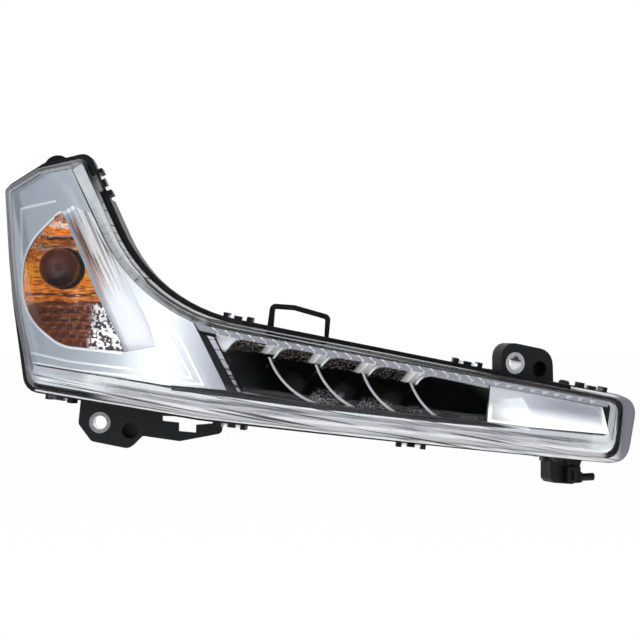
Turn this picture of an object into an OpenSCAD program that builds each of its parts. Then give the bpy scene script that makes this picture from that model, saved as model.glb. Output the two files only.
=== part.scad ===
// Front lamp for a car's bumper corner: an amber-bulb indicator in the upright end and a
// row of LED bowls in the arm, behind one clear lens. The lamp faces -Y, the arm runs along
// +X towards the middle of the car, and the origin is in the bore of the upper fixing lug.

/* [Main sizes] */
// How far the arm's inner end lies from the lamp's middle line
arm_end = 190; // [175:1:215]
// Height of the upright end above the lamp's middle line
top_end = 101; // [97:1:112]

/* [Front surface] */
// Radius of the curve that the whole front follows in plan
sweep_r = 900; // [600:50:1500]
// How far the front's foremost line lies from the lamp's middle
sweep_x = 50; // [20:5:80]
// How far the lens face bulges in its middle
face_crown = 1.5; // [0:0.5:3]

/* [Lens] */
// Thickness of the lens
lens_wall = 2.2; // [1.8:0.1:3]
// Radius of the lens's front edge
rim_r = 3; // [1.5:0.5:4]
// Depth of the sloping wall, from the face to the shelf
lens_depth = 17; // [14:1:20]
// Share of the wall's spread that lies in front of the shelf
wall_share = 0.55; // [0.4:0.05:0.7]
// How deep the lens's leg reaches into the glue channel
leg_reach = 7; // [5:0.5:9]

/* [Housing] */
// Wall of the housing
wall = 2.5; // [2:0.1:3.2]
// Gap beside the leg in the glue channel
channel_gap = 0.4; // [0.2:0.1:0.6]
// Thickness of the channel's inner lip
lip_wall = 1.6; // [1.2:0.1:2.2]
// Depth of the sealing bead under the leg
bead = 3; // [2:0.5:4]
// Depth of the housing behind the indicator
deep_y = 108; // [100:1:115]
// Depth of the housing behind the arm
arm_y = 66; // [62:1:72]
// Depth of the housing above the step at its top
top_y = 68; // [66:1:74]
// Height at which the deep part of the housing ends
step_z = 81; // [76:1:86]
// How far the housing's body stands in from its flange
body_inset = 3; // [2.5:0.5:3.5]
// Height of the ribs on the housing's back
rib_h = 3; // [2:0.5:5]

/* [Fixings] */
// Outer radius of the steel bushes
bush_r = 7; // [6.4:0.1:7.4]
// Radius of the bore in the steel bushes
bore_r = 4.5; // [3.2:0.1:4.8]
// Thickness of the fixing lugs
lug_t = 12; // [9:0.5:13]
// How far the right-hand lugs are turned from the lamp's front, in degrees
lug_turn = 24; // [15:1:32]
// Height of the retaining loop on the arm
loop_h = 13; // [10:0.5:16]
// Thickness of the retaining loop's bars
loop_bar = 3.4; // [2.6:0.2:4.2]

/* [Indicator] */
// Radius of the bulb's glass
bulb_r = 13; // [12:0.25:13.25]
// Radius of the bulb's metal base
base_r = 7.5; // [7:0.1:7.8]
// Focal length of the indicator's reflector
focal = 22; // [18:1:26]
// Thickness of the trims and reflectors
trim_wall = 2; // [1.6:0.1:2.4]
// How far the trims lie behind the lens's face
trim_depth = 6; // [5:0.5:8]

/* [Light row] */
// Number of fins between the LED bowls
fins = 4; // [2:1:4]
// Distance between the fins
pitch = 29.9; // [28:0.1:31]
// Radius of the fins' curve
fin_r = 45.5; // [43:0.5:48]
// Thickness of the fins at their edge
fin_t = 1; // [0.8:0.1:1.6]
// Height of the prism bar above the bowls
bar_h = 3.8; // [3.2:0.1:4.4]
// Distance between the prisms of the bar
prism_pitch = 7.6; // [6:0.2:10]

/* [Hidden] */
$fn = 48;
sweep_fn = 256;
gap = 0.2;
far = 260;

// Corners of the lamp's outlines in front view, each with its radius. They run down the
// outer side, along the bottom, up the inner end, along the arm and up the hollow side.
// The arm's end and the top move along their own edges, so that the edges keep their slopes.
TL = 0;
LM = 1;
BL = 2;
BM = 3;
BR = 4;
TR = 5;
K = 6;
TT = 7;
T1 = 8;
bottom_slope = -0.108;
top_slope = -0.188;
outer_slope = -0.06;
hollow_slope = -0.48;
more = [arm_end - 190, top_end - 101];
function stretched(V) =
    [for (i = [0 : len(V) - 1])
        V[i] + (i == BR ? more[0] * [1, bottom_slope, 0] :
                i == TR ? more[0] * [1, top_slope, 0] :
                i == TL ? more[1] * [outer_slope, 1, 0] :
                i == TT ? more[1] * [hollow_slope, 1, 0] :
                i == T1 ? more[1] * [(outer_slope + hollow_slope) / 2, 1, 0] : [0, 0, 0])];
rim = stretched([[-203, 84.5, 4], [-199, 19, 250], [-188.5, -31.5, 7], [-75, -48.5, 60],
                 [185.5, -77, 8], [190, -49.5, 7], [-110.5, 5.5, 110], [-157, 101, 4],
                 [-181, 97, 0]]);
leg = stretched([[-204, 85.5, 5], [-200.5, 19.5, 250], [-190.5, -43.5, 9], [-77, -61.4, 60],
                 [190.5, -89, 10], [194.5, -51, 9], [-108.8, 8.6, 106], [-152.5, 105, 5],
                 [-180.5, 99.5, 0]]);
flange = stretched([[-206.5, 87.5, 7], [-203, 19.5, 252], [-193.5, -46.4, 11], [-77, -64.4, 60],
                    [197, -93, 13], [204.5, -50.5, 13], [-105.5, 10.8, 103], [-149.5, 109, 8],
                    [-180.5, 102.5, 0]]);

// Steps in each corner and in the side that follows it. The four end corners are halved,
// so that the loop is a grid of along by across.
steps = [[4, 3], [2, 3], [4, 5], [1, 12], [4, 2], [4, 14], [12, 4], [4, 1], [0, 1]];
along = 34;
across = 6;
around = 2 * (along + across);

function unit(v) = v / norm(v);
function flat(p) = [p[0], p[1]];
function turn(a, b) = a[0] * b[1] - a[1] * b[0];
function around_at(V, i) = V[(i + len(V)) % len(V)];
function sweep(x) = sweep_r - sqrt(sweep_r * sweep_r - (x - sweep_x) * (x - sweep_x));

// The corner list moved inwards by d, with its radii to suit
function side_normal(V, i) =
    let (e = unit(flat(around_at(V, i + 1)) - flat(around_at(V, i)))) [-e[1], e[0]];
function inset(V, d) = [
    for (i = [0 : len(V) - 1])
        let (a = side_normal(V, i - 1), b = side_normal(V, i),
             p = flat(V[i]) + d * (a + b) / (1 + a * b), convex = turn(a, b) > 0,
             r = V[i][2])
            [p[0], p[1], r == 0 ? 0 : max(convex ? r - d : r + d, 0.3)]];

// Points of one rounded corner, in n steps
function corner(V, i, n) =
    let (p = flat(V[i]), r = V[i][2], a = unit(flat(around_at(V, i - 1)) - p),
         b = unit(flat(around_at(V, i + 1)) - p))
        n == 0 || r == 0 ? [p] :
        let (half = acos(a * b) / 2, c = p + unit(a + b) * r / sin(half),
             s = p + a * r / tan(half) - c, way = turn(a, b) > 0 ? -1 : 1)
            [for (k = [0 : n])
                let (w = way * (180 - 2 * half) * k / n)
                    c + [s[0] * cos(w) - s[1] * sin(w), s[0] * sin(w) + s[1] * cos(w)]];

// The rounded outline as one loop of points. Each corner list gives the same count.
function outline(V) =
    let (arcs = [for (i = [0 : len(V) - 1]) corner(V, i, steps[i][0])],
         raw = [for (i = [0 : len(V) - 1])
                   let (q = arcs[i][len(arcs[i]) - 1], next = arcs[(i + 1) % len(V)][0],
                        n = steps[i][1])
                       each concat(arcs[i],
                                   n < 2 ? [] : [for (k = [1 : n - 1]) q + (next - q) * k / n])])
        [for (i = [0 : around - 1]) raw[(i + steps[0][0] / 2) % around]];

// An outline of its own corners, as drawn, with f steps in each rounded corner
function rounded(V, f = 6) = [for (i = [0 : len(V) - 1]) each corner(V, i, f)];

// Height of an edge of a corner list at x, and its slope in degrees
function edge_z(V, i, x) =
    let (p = V[i], q = around_at(V, i + 1)) p[1] + (q[1] - p[1]) * (x - p[0]) / (q[0] - p[0]);
function edge_angle(V, i) =
    let (p = V[i], q = around_at(V, i + 1)) atan2(q[1] - p[1], q[0] - p[0]);

// A front-view shape pushed straight back, from y0 to y1
module prism(points, y0, y1)
    translate([0, y1, 0]) rotate([90, 0, 0]) linear_extrude(y1 - y0) polygon(points);

// Everything behind the swept surface at a depth
module behind(depth)
    translate([sweep_x, sweep_r + depth, -far])
        cylinder(r = sweep_r, h = 2 * far, $fn = sweep_fn);

// A front-view shape between two swept surfaces
module swept(points, d0, d1)
    difference() {
        intersection() {
            prism(points, -5, 80 + d1);
            behind(d0);
        }
        behind(d1);
    }

module from_fixing() translate(-fixing) children();

// A child drawn with its edge along +X and its outer side towards -Z, set on the edge of a
// corner list
module on_edge(V, i, x)
    translate([x, 0, edge_z(V, i, x)]) rotate([0, -edge_angle(V, i), 0]) children();

// The same on the flange, and turned about its lip to follow the sweep
module on_flange(i, x)
    translate([0, sweep(x), 0]) on_edge(flange, i, x) translate([0, lip_top, 0])
        rotate([0, 0, atan((x - sweep_x) / sweep_r * cos(edge_angle(flange, i)))])
            translate([0, -lip_top, 0]) children();

// Depths behind the swept front
leg_top = lens_depth + 2.5;
lip_top = lens_depth + 7;
leg_end = lip_top + leg_reach;
channel_floor = leg_end + bead;
channel_in = lens_wall + channel_gap;
flange_back = channel_floor + 2;
body = inset(flange, body_inset);

// Lens: a shell lofted through rings of the outline
function ring(V, depth) = [for (p = outline(V)) [p[0], sweep(p[0]) + depth, p[1]]];
function between(t) = rim * (1 - t) + leg * t;

// Point i, j of the grid that fills a loop, by blending its four sides
function fill(L, i, j) =
    let (u = i / along, v = j / across, n = along, m = across)
        (1 - v) * L[i] + v * L[2 * n + m - i] + (1 - u) * L[(2 * n + 2 * m - j) % around]
        + u * L[n + j]
        - (1 - u) * (1 - v) * L[0] - u * (1 - v) * L[n] - u * v * L[n + m]
        - (1 - u) * v * L[2 * n + m];
function grid_index(i, j, ring0, inner0) =
    j == 0 ? ring0 + i :
    i == along ? ring0 + along + j :
    j == across ? ring0 + 2 * along + across - i :
    i == 0 ? ring0 + (2 * along + 2 * across - j) % around :
    inner0 + (i - 1) * (across - 1) + j - 1;
function face_points(V, depth, crown) =
    let (L = outline(V))
        [for (i = [1 : along - 1], j = [1 : across - 1])
            let (p = fill(L, i, j), v = j / across, u = i / along,
                 lift = crown * 4 * v * (1 - v) * min(1, 12 * u * (1 - u)))
                [p[0], sweep(p[0]) + depth - lift, p[1]]];
function face_quads(ring0, inner0, flip) = [
    for (i = [0 : along - 1], j = [0 : across - 1])
        let (a = grid_index(i, j, ring0, inner0), b = grid_index(i + 1, j, ring0, inner0),
             c = grid_index(i + 1, j + 1, ring0, inner0), d = grid_index(i, j + 1, ring0, inner0))
            each flip ? [[a, b, c], [a, c, d]] : [[a, c, b], [a, d, c]]];
function ring_quads(count) = [
    for (k = [0 : count - 2], i = [0 : around - 1])
        let (a = k * around + i, b = k * around + (i + 1) % around)
            each [[a, b + around, a + around], [a, b, b + around]]];

module lens_shell() {
    inner_rim = rim_r + lens_wall * 0.45;
    rings = [
        ring(inset(rim, rim_r), 0),
        ring(inset(rim, rim_r * 0.3), rim_r * 0.3),
        ring(rim, rim_r),
        ring(between(wall_share), lens_depth),
        ring(inset(leg, 0.6), lens_depth + 1.4),
        ring(leg, leg_top),
        ring(leg, leg_end),
        ring(inset(leg, lens_wall), leg_end),
        ring(inset(leg, lens_wall), leg_top + 2),
        ring(inset(between(wall_share), lens_wall), leg_top + 0.6),
        ring(inset(rim, lens_wall), rim_r + lens_wall),
        ring(inset(rim, inner_rim), lens_wall)];
    count = len(rings);
    outer = face_points(inset(rim, rim_r), 0, face_crown);
    inner = face_points(inset(rim, inner_rim), lens_wall, face_crown);
    points = concat([for (r = rings) each r], outer, inner);
    faces = concat(ring_quads(count),
                   face_quads(0, count * around, false),
                   face_quads((count - 1) * around, count * around + len(outer), true));
    polyhedron(points, faces, convexity = 8);
}

// Frame inside the lens: a bright apron that follows the sloping wall down to the housing
module inner_frame()
    color([0.7, 0.71, 0.73]) {
        slope = between(wall_share);
        clear = lens_wall + 0.8;
        rings = [
            ring(inset(between(0.2), clear + 1.8), trim_depth + 8.2),
            ring(inset(slope, clear), lens_depth + 3.6),
            ring(inset(leg, clear), leg_top + 3.2),
            ring(inset(leg, clear), lip_top - 0.1),
            ring(inset(leg, clear + 1.2), lip_top - 0.1),
            ring(inset(leg, clear + 1.2), leg_top + 3.8),
            ring(inset(slope, clear + 1.3), lens_depth + 4.8),
            ring(inset(between(0.2), clear + 2.4), trim_depth + 9.4)];
        polyhedron([for (r = rings) each r],
                   concat(ring_quads(len(rings)), closing_quads(len(rings))), convexity = 8);
    }
function closing_quads(count) = [
    for (i = [0 : around - 1])
        let (a = (count - 1) * around + i, b = (count - 1) * around + (i + 1) % around,
             c = i, d = (i + 1) % around)
            each [[a, d, c], [a, b, d]]];

// Snap clips round the flange: the edge and the x where each one sits
clips = [[BL, -170.5], [BM, -57], [BM, 58], [BM, 152], [TR, 175], [TR, 94], [TR, -53], [K, -140.6]];
clip_w = 11;
clip_t = 1.8;
clip_reach = 13;

// Clear strap from the leg, over the flange's lip and back along its outside
module clip_strap()
    difference() {
        translate([-clip_w / 2, leg_top + 0.8, -clip_t - gap])
            cube([clip_w, clip_reach + 3.7, clip_t + gap + 4.6]);
        translate([-clip_w / 2 - 1, lip_top - gap, -gap]) cube([clip_w + 2, clip_reach + 2, 8]);
        translate([-clip_w / 2 + 2.5, lip_top + 2, -clip_t - 1]) cube([clip_w - 5, 5, clip_t + 1]);
    }

// Two guards with a snap nose between them, on the housing
module clip_guards() {
    for (s = [-1, 1])
        translate([s * (clip_w / 2 + 2.2) - 1.7, lip_top + 1, -3])
            cube([3.4, clip_reach - 3, 4]);
    translate([-clip_w / 2 + 3, lip_top + 2.6, -clip_t - 0.4]) cube([clip_w - 6, 3.6, clip_t + 1.4]);
}

module outer_lens()
    color("aliceblue", 0.4) {
        lens_shell();
        for (c = clips) on_flange(c[0], c[1]) clip_strap();
    }

// Housing: a channelled flange with a deep body behind it, which its plan and its side
// profile limit
slope_x0 = -100;
slope_x1 = -62;
module plan_limit(d)
    translate([0, 0, -far]) linear_extrude(2 * far)
        polygon([[-far, -20], [-far, deep_y - d], [slope_x0 - 0.5 * d, deep_y - d],
                 [slope_x1 - 0.5 * d, arm_y - d], [far, arm_y - d], [far, -20]]);
module side_limit(d)
    rotate([90, 0, 90]) translate([0, 0, -far]) linear_extrude(2 * far)
        polygon([[-20, -far], [deep_y + 20, -far], [deep_y + 20, step_z - d],
                 [top_y - d, step_z - d], [top_y - d, far], [-20, far]]);
module tub(V, depth, d)
    intersection() {
        prism(outline(V), 0, deep_y + 10);
        behind(depth);
        plan_limit(d);
        side_limit(d);
    }
module swept_ring(V, W, d0, d1)
    difference() {
        swept(outline(V), d0, d1);
        prism(outline(W), -10, far);
    }

module tube(r, y0, y1) translate([0, 0, y0]) cylinder(r = r, h = y1 - y0);
module post(p, r, y0, y1) translate([p[0], 0, p[1]]) rotate([-90, 0, 0]) tube(r, y0, y1);
module hollow(p, r, bore, y0, y1)
    difference() {
        post(p, r, y0, y1);
        post(p, bore, y0 - 1, y1 + 1);
    }

// Bulb axis, in front view, and the twist-lock hole around it
bulb = [-171.4, 34.4];
hole_r = 15.5;
collar_r = 21;
notch_w = 6;
notch_r = hole_r + 2.6;

// Where the inner pieces stand on the housing, in front view
bezel_feet = [[-181, 86.5], [-180, -20.5], [-105, -24]];
dish_feet = [[-184, 72], [-146, 51], [-147, -8]];
row_feet = [[-40, -38], [38, -50], [94, -57]];
end_feet = [[122, -52], [172, -62]];
foot_r = 4;
screw_r = 1.6;
head_r = 3.6;
bezel_seat = 60;
dish_seat = 92;
row_seat = 50;
end_seat = 46;
function back_at(p) = p[1] > step_z ? top_y : p[0] < slope_x0 ? deep_y : arm_y;
connector = [112, -66];
connector_w = 20;
connector_h = 12;
vent = [-14, -36];
vent_r = 7;

// Screws that hold the brackets: the flange edge, x and y of each
upper_screws = [[TR, 117, 61], [TR, 158, 49]];
lower_screws = [[BL, -150, 86], [BL, -118, 86]];
locator_screws = [[BM, 142, 60], [BM, 170, 60]];
bracket_screw_list = concat(upper_screws, lower_screws, locator_screws);
boss_depth = 9;

module back_ribs()
    difference() {
        ribs();
        post(vent, vent_r + 2.6, arm_y, far);
    }
module ribs() {
    for (x = [-45 : 26 : 180])
        intersection() {
            translate([x - 0.8, arm_y - 0.5, -far]) cube([1.6, rib_h + 0.5, 2 * far]);
            prism(outline(inset(flange, 8)), 0, deep_y);
        }
    difference() {
        prism(outline(inset(flange, 12)), arm_y - 0.5, arm_y + rib_h);
        prism(outline(inset(flange, 13.6)), 0, deep_y);
        translate([-far, 0, -far]) cube([far - 52, far, 2 * far]);
    }
}

module boss(p, y0) hollow(p, foot_r + 0.6, screw_r + 0.1, y0, back_at(p) - wall / 2);
module screw_place(s) translate([0, s[2], 0]) on_edge(body, s[0], s[1]) children();

module housing()
    color([0.06, 0.06, 0.065]) {
        difference() {
            union() {
                swept(outline(flange), lip_top, flange_back);
                tub(body, flange_back - 1, 0);
                back_ribs();
                post(bulb, collar_r, deep_y - 1, deep_y + 3);
                post(vent, vent_r, arm_y - 1, arm_y + 6);
                translate([connector[0] - connector_w / 2 - 3, arm_y - 1,
                           connector[1] - connector_h / 2 - 3])
                    cube([connector_w + 6, 4, connector_h + 6]);
                for (c = clips) on_flange(c[0], c[1]) clip_guards();
            }
            difference() {
                tub(inset(body, wall), flange_back, wall);
                for (s = bracket_screw_list)
                    screw_place(s) translate([0, 0, -1]) cylinder(r = 4, h = boss_depth + 1);
            }
            intersection() {
                prism(outline(inset(leg, channel_in + lip_wall)), 0, far);
                plan_limit(wall);
                side_limit(wall);
                translate([0, -2, 0]) behind(0);
            }
            swept_ring(inset(leg, -channel_gap), inset(leg, channel_in), 0, channel_floor);
            post(bulb, hole_r, deep_y - 10, deep_y + 10);
            for (a = [90, 210, 330])
                translate([bulb[0], deep_y, bulb[1]]) rotate([0, a, 0])
                    translate([hole_r - 2, -10, -notch_w / 2])
                        cube([notch_r - hole_r + 2, 20, notch_w]);
            post(vent, vent_r - 2.5, arm_y - 10, arm_y + 10);
            translate([connector[0] - connector_w / 2, arm_y - 10,
                       connector[1] - connector_h / 2])
                cube([connector_w, 20, connector_h]);
            for (p = concat(bezel_feet, dish_feet, row_feet, end_feet))
                post(p, screw_r + 0.1, back_at(p) - 5, back_at(p) + 10);
            for (s = bracket_screw_list)
                screw_place(s) translate([0, 0, -1]) cylinder(r = screw_r, h = boss_depth - 1);
        }
        for (p = bezel_feet) boss(p, bezel_seat);
        for (p = dish_feet) boss(p, dish_seat);
        for (p = row_feet) boss(p, row_seat);
        for (p = end_feet) boss(p, end_seat);
    }

module sealing_bead()
    color([0.12, 0.12, 0.12])
        swept_ring(inset(leg, -channel_gap + 0.05), inset(leg, channel_in - 0.05),
                   leg_end + 0.15, channel_floor - 0.05);

// Lines that divide the front, from top to bottom
line_1 = [[-81.2, 1], [-75.7, -9.8], [-58, -45.4]];
line_2 = [[-74.6, -2.9], [-71.1, -9.7], [-51.6, -44.9]];
line_3 = [[-69.4, -4.4], [-66.6, -9.9], [-49.3, -44.9]];
bar_top = [[-79.1, -2.3], [-44, -9.5], [18.8, -21], [81.3, -32.5], [144.4, -44.2],
           [181.5 + more[0], -51.2 + top_slope * more[0]]];
trim_top = [[-94.5, -41.4], [-58.5, -44.3], [-12.5, -51.8], [50, -58.6], [81, -61.8],
            [131.5, -68.5]];
trim_bottom = [[132, -69.3], [81, -64.8], [50, -61.4], [-12.5, -54.6], [-58.5, -48.6],
               [-94, -44.6]];
function shift(P, x, z) = [for (p = P) [p[0] + x, p[1] + z]];
function back(P) = [for (i = [len(P) - 1 : -1 : 0]) P[i]];

// A line of width w along points, with mitred corners
function left_of(P, i) = let (e = unit(P[i + 1] - P[i])) [-e[1], e[0]];
function stroke(P, w) =
    let (n = [for (i = [0 : len(P) - 1])
                  let (a = left_of(P, max(i - 1, 0)), b = left_of(P, min(i, len(P) - 2)))
                      (a + b) / (1 + a * b) * w / 2])
        concat([for (i = [0 : len(P) - 1]) P[i] + n[i]],
               back([for (i = [0 : len(P) - 1]) P[i] - n[i]]));

// Opening of the indicator, with a radius for each corner
opening = [[-165.6, 69.2, 1.5], [-191.5, 45, 40], [-190.7, 3.5, 36], [-166, -16.3, 28],
           [-125, -20.4, 1.5], [-143.8, 17.5, 120]];
bezel_edge = inset(rim, 4);
bezel_back = trim_depth + trim_wall;
beads = [[[-192.2, 37], [-192.4, 71.6], [-187, 72.8], [-169, 76.2]],
         [[-186, -21], [-160, -26.5], [-125, -30.5], [-88, -34.5], [-80.5, -37], [-98, -4]],
         [[-189.5, -26.5], [-160, -31.5], [-120, -35.5], [-86, -39.5], [-73.5, -40.5],
          [-95, 2], [-101, 18]]];

module indicator_bezel()
    color([0.66, 0.68, 0.71])
        difference() {
            union() {
                difference() {
                    union() {
                        swept(outline(bezel_edge), trim_depth, bezel_back);
                        intersection() {
                            swept(cove_zone, trim_depth + 1, cove_back);
                            prism(outline(inset(rim, 6.4)), -20, far);
                        }
                    }
                    right_of_line_1();
                    prism(concat(shift(trim_top, 0, 0.3), shift(trim_bottom, 0, -9)), -20, far);
                    cove_cut();
                }
                intersection() {
                    for (b = beads) swept(stroke(b, 1.4), trim_depth - 0.6, trim_depth + 0.5);
                    prism(outline(bezel_edge), -20, far);
                }
                difference() {
                    swept(rounded(inset(opening, -1.6), 8), trim_depth - 0.4, bezel_back + 1.4);
                    cove_cut();
                }
                for (p = bezel_feet)
                    intersection() {
                        post(p, foot_r, 0, bezel_seat);
                        behind(bezel_back - 1);
                    }
            }
            prism(rounded(opening, 8), -20, far);
            for (p = bezel_feet) post(p, screw_r - 0.1, bezel_seat - 12, bezel_seat + 1);
        }

// Cove along the opening's inner side: a cylinder laid along that side
cove_back = 24;
cove_w = 19;
cove_r = 48;
cove_zone = [[-167, 70], [-147, 20], [-127, -22.5], [-96, -18], [-109, 14], [-124, 42],
             [-143, 80], [-163, 86]];
cove_cut_zone = [[-170, 66], [-170, 20], [-140, -18], [-124, -20.5], [-104, -17], [-112, 12],
                 [-128, 40], [-146, 68], [-158, 73]];
module cove_cut() {
    a = [-181.8, sweep(-166) + trim_depth + 8 - cove_r, 72];
    b = [-140, sweep(-121.5) + trim_depth + 14 - cove_r, -20.7];
    e = (b - a) / norm(b - a);
    intersection() {
        translate(a - 30 * e) rotate([0, acos(e[2]), atan2(e[1], e[0])])
            cylinder(r = cove_r, h = norm(b - a) + 60, $fn = 128);
        prism(cove_cut_zone, -20, far);
    }
}
module right_of_line_1()
    prism(concat([line_1[2] + [30, -60]], [[far, -far], [far, far], line_1[0] + [-60, 117]],
                 line_1), -20, far);

// Reflector of the indicator: flutes above, bricks below, on a paraboloid about the bulb
band = 4.5;
brick_h = 5.4;
brick_w = 6.6;
dish_y = 84;
function dish(x, z) =
    let (a = x - bulb[0], b = z - bulb[1])
        max(44, dish_y - 2 - (a * a + b * b) / (4 * focal));
module flute(z, y, r, x0, x1) {
    intersection() {
        translate([(x0 + x1) / 2, y - r, z]) sphere(r = r);
        translate([x0, y - r, z - brick_h / 2]) cube([x1 - x0, far, brick_h]);
    }
    translate([x0, 10, z - brick_h / 2]) cube([x1 - x0, y - r - 10, brick_h]);
}
module dish_surface() {
    for (i = [0 : 13])
        let (z = 70.5 - i * band)
            flute_wide(z, dish(bulb[0], z) + (i % 2) * 0.9);
    for (j = [0 : 5], k = [-4 : 8])
        let (z = 7 - j * brick_h, x = bulb[0] + (k + (j % 2) / 2) * brick_w)
            if (x > -197 + j * 2 && x < -134 + j * 3.6)
                flute(z, dish(x, z), 14, x - brick_w / 2, x + brick_w / 2);
}
module flute_wide(z, y)
    intersection() {
        translate([bulb[0], y - 62, z]) sphere(r = 62, $fn = 160);
        translate([-far, 20, z - band / 2]) cube([2 * far, far, band]);
    }

module indicator_reflector()
    color([0.93, 0.62, 0.3]) {
        difference() {
            union() {
                difference() {
                    intersection() {
                        prism(rounded(inset(opening, -trim_wall), 8), 0, 72);
                        behind(bezel_back + 1.6);
                    }
                    swept(cove_zone, -5, cove_back + gap);
                }
                intersection() {
                    prism(rounded(inset(opening, -trim_wall), 8), 52, 86);
                    post(bulb, 38, 52, 87);
                }
                for (p = dish_feet) {
                    post(p, foot_r, 52, dish_seat);
                    intersection() {
                        prism(stroke([p, p + (bulb - p) * 0.5], 6), 52, 56);
                        prism(outline(inset(flange, 9)), 0, 100);
                    }
                }
            }
            intersection() {
                prism(rounded(opening, 8), 0, 100);
                dish_surface();
            }
            post(bulb, 14, 40, 100);
            for (p = dish_feet) post(p, screw_r - 0.1, dish_seat - 12, dish_seat + 1);
        }
    }

// Bulb with a bayonet base
bulb_y = 60;
base_y = 76;
module bulb_glass()
    color([0.95, 0.5, 0.1], 0.8)
        translate([bulb[0], bulb_y, bulb[1]]) rotate([-90, 0, 0]) rotate_extrude()
            difference() {
                union() {
                    circle(r = bulb_r);
                    translate([0, 5]) square([base_r - 0.3, 15]);
                    polygon([[0, 0], [11.2, 6.6], [8.6, 10.5], [7.2, 15], [0, 15]]);
                }
                circle(r = bulb_r - 0.9);
                polygon([[0, 0], [10.4, 6], [7.7, 10.1], [6.2, 15], [6.2, 30], [0, 30]]);
                translate([-far, -far]) square([far, 2 * far]);
            }

module bulb_filament()
    color([0.5, 0.5, 0.52]) translate([bulb[0], bulb_y, bulb[1]]) rotate([-90, 0, 0]) {
        translate([0, 0, 9]) cylinder(r = 3.2, h = 12);
        for (s = [-1, 1]) {
            translate([s * 2.6, 0, 1]) cylinder(r = 0.35, h = 9);
            translate([s * 2.6, 0, 1.2]) rotate([0, -s * 90, 0]) cylinder(r = 0.3, h = 1.4);
        }
        translate([-1.6, 0, 1.2]) rotate([0, 90, 0]) cylinder(r = 0.75, h = 3.2);
    }

module bulb_base()
    color([0.75, 0.72, 0.62]) translate([bulb[0], 0, bulb[1]]) rotate([-90, 0, 0]) {
        difference() {
            tube(base_r, base_y, 96);
            tube(base_r - 0.25, base_y - 1, base_y + 5);
        }
        tube(2, 95, 97.4);
        for (a = [0, 180]) rotate([0, 0, a + 20]) translate([0, 0, 88])
            rotate([0, 90, 0]) cylinder(r = 0.9, h = base_r + 1);
    }

socket_y0 = 82;
module bulb_holder()
    color([0.2, 0.2, 0.21]) {
        difference() {
            union() {
                post(bulb, 11.5, socket_y0, deep_y + 1);
                post(bulb, hole_r - 0.3, deep_y - 4, deep_y + 5.5);
                for (a = [90, 210, 330])
                    translate([bulb[0], deep_y - wall - 3.2, bulb[1]]) rotate([0, a + 30, 0])
                        translate([8, 0, -notch_w / 2 + 0.4])
                            cube([notch_r - 8.4, 3, notch_w - 0.8]);
                post(bulb, collar_r + 1, deep_y + 5.5, deep_y + 9);
                post(bulb, 13, deep_y + 8, deep_y + 13);
                for (a = [0 : 30 : 330])
                    translate([bulb[0], deep_y + 8, bulb[1]]) rotate([0, a, 0])
                        translate([12, 0, -1.2]) cube([7.5, 4, 2.4]);
                translate([bulb[0] - 11, deep_y + 10, bulb[1] - 7]) cube([22, 11, 14]);
            }
            post(bulb, base_r + 0.25, socket_y0 - 1, 98);
            for (s = [0, 180])
                translate([bulb[0], socket_y0 - 1, bulb[1]]) rotate([0, s + 20, 0])
                    translate([0, 0, -1.3]) cube([base_r + 1.6, 8.5, 2.6]);
            translate([bulb[0] - 9, deep_y + 12, bulb[1] - 5]) cube([18, 12, 10]);
            for (x = [-5, 5])
                translate([bulb[0] + x - 0.5, 90, bulb[1] - 1.6]) cube([1, 30, 3.2]);
        }
    }

module bulb_contacts()
    color([0.8, 0.72, 0.45]) {
        for (x = [-5, 5])
            translate([bulb[0] + x - 0.4, 98.4, bulb[1] - 1.4]) cube([0.8, deep_y - 79, 2.8]);
    }

module bulb_holder_seal()
    color([0.75, 0.25, 0.12])
        hollow(bulb, 19.6, 16, deep_y + 3, deep_y + 5.5);

// Row of bowls in the arm
row_top = [[-66.3, -10.5], [-44, -15.1], [18.8, -26.2], [81.3, -37.4], [106.2, -42]];
row_depth = 14;
bowl_deep = 25;
ball_out = (fin_r * fin_r - bowl_deep * bowl_deep) / (2 * bowl_deep);
ball_r = ball_out + bowl_deep;
slope_down = 0.184;
first_bowl = [-6, -6];
function bowl_at(k) =
    [10.6 + pitch * k, -7.4 - pitch * slope_down * k] + (k < 0 ? first_bowl : [0, 0]);
row_zone = concat(row_top, [[106.2, -49], [104.4, -63.9], [81.2, -60.8], [50, -57.6],
                            [-12.5, -50.8], [-48.6, -44.9]]);
module bowl(k, r)
    let (c = bowl_at(k))
        translate([c[0], sweep(c[0] - 0.8 * fin_r) + row_depth - ball_out, c[1]])
            sphere(r = r, $fn = 160);
module bowls(k)
    if (k < -1)
        swept(row_zone, row_depth, 41);
    else
        difference() {
            union() {
                bowls(k - 1);
                difference() {
                    intersection() {
                        bowl(k, ball_r + fin_t);
                        swept(row_zone, row_depth, 41);
                    }
                    above_hoods();
                }
            }
            bowl(k, ball_r);
        }

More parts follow.
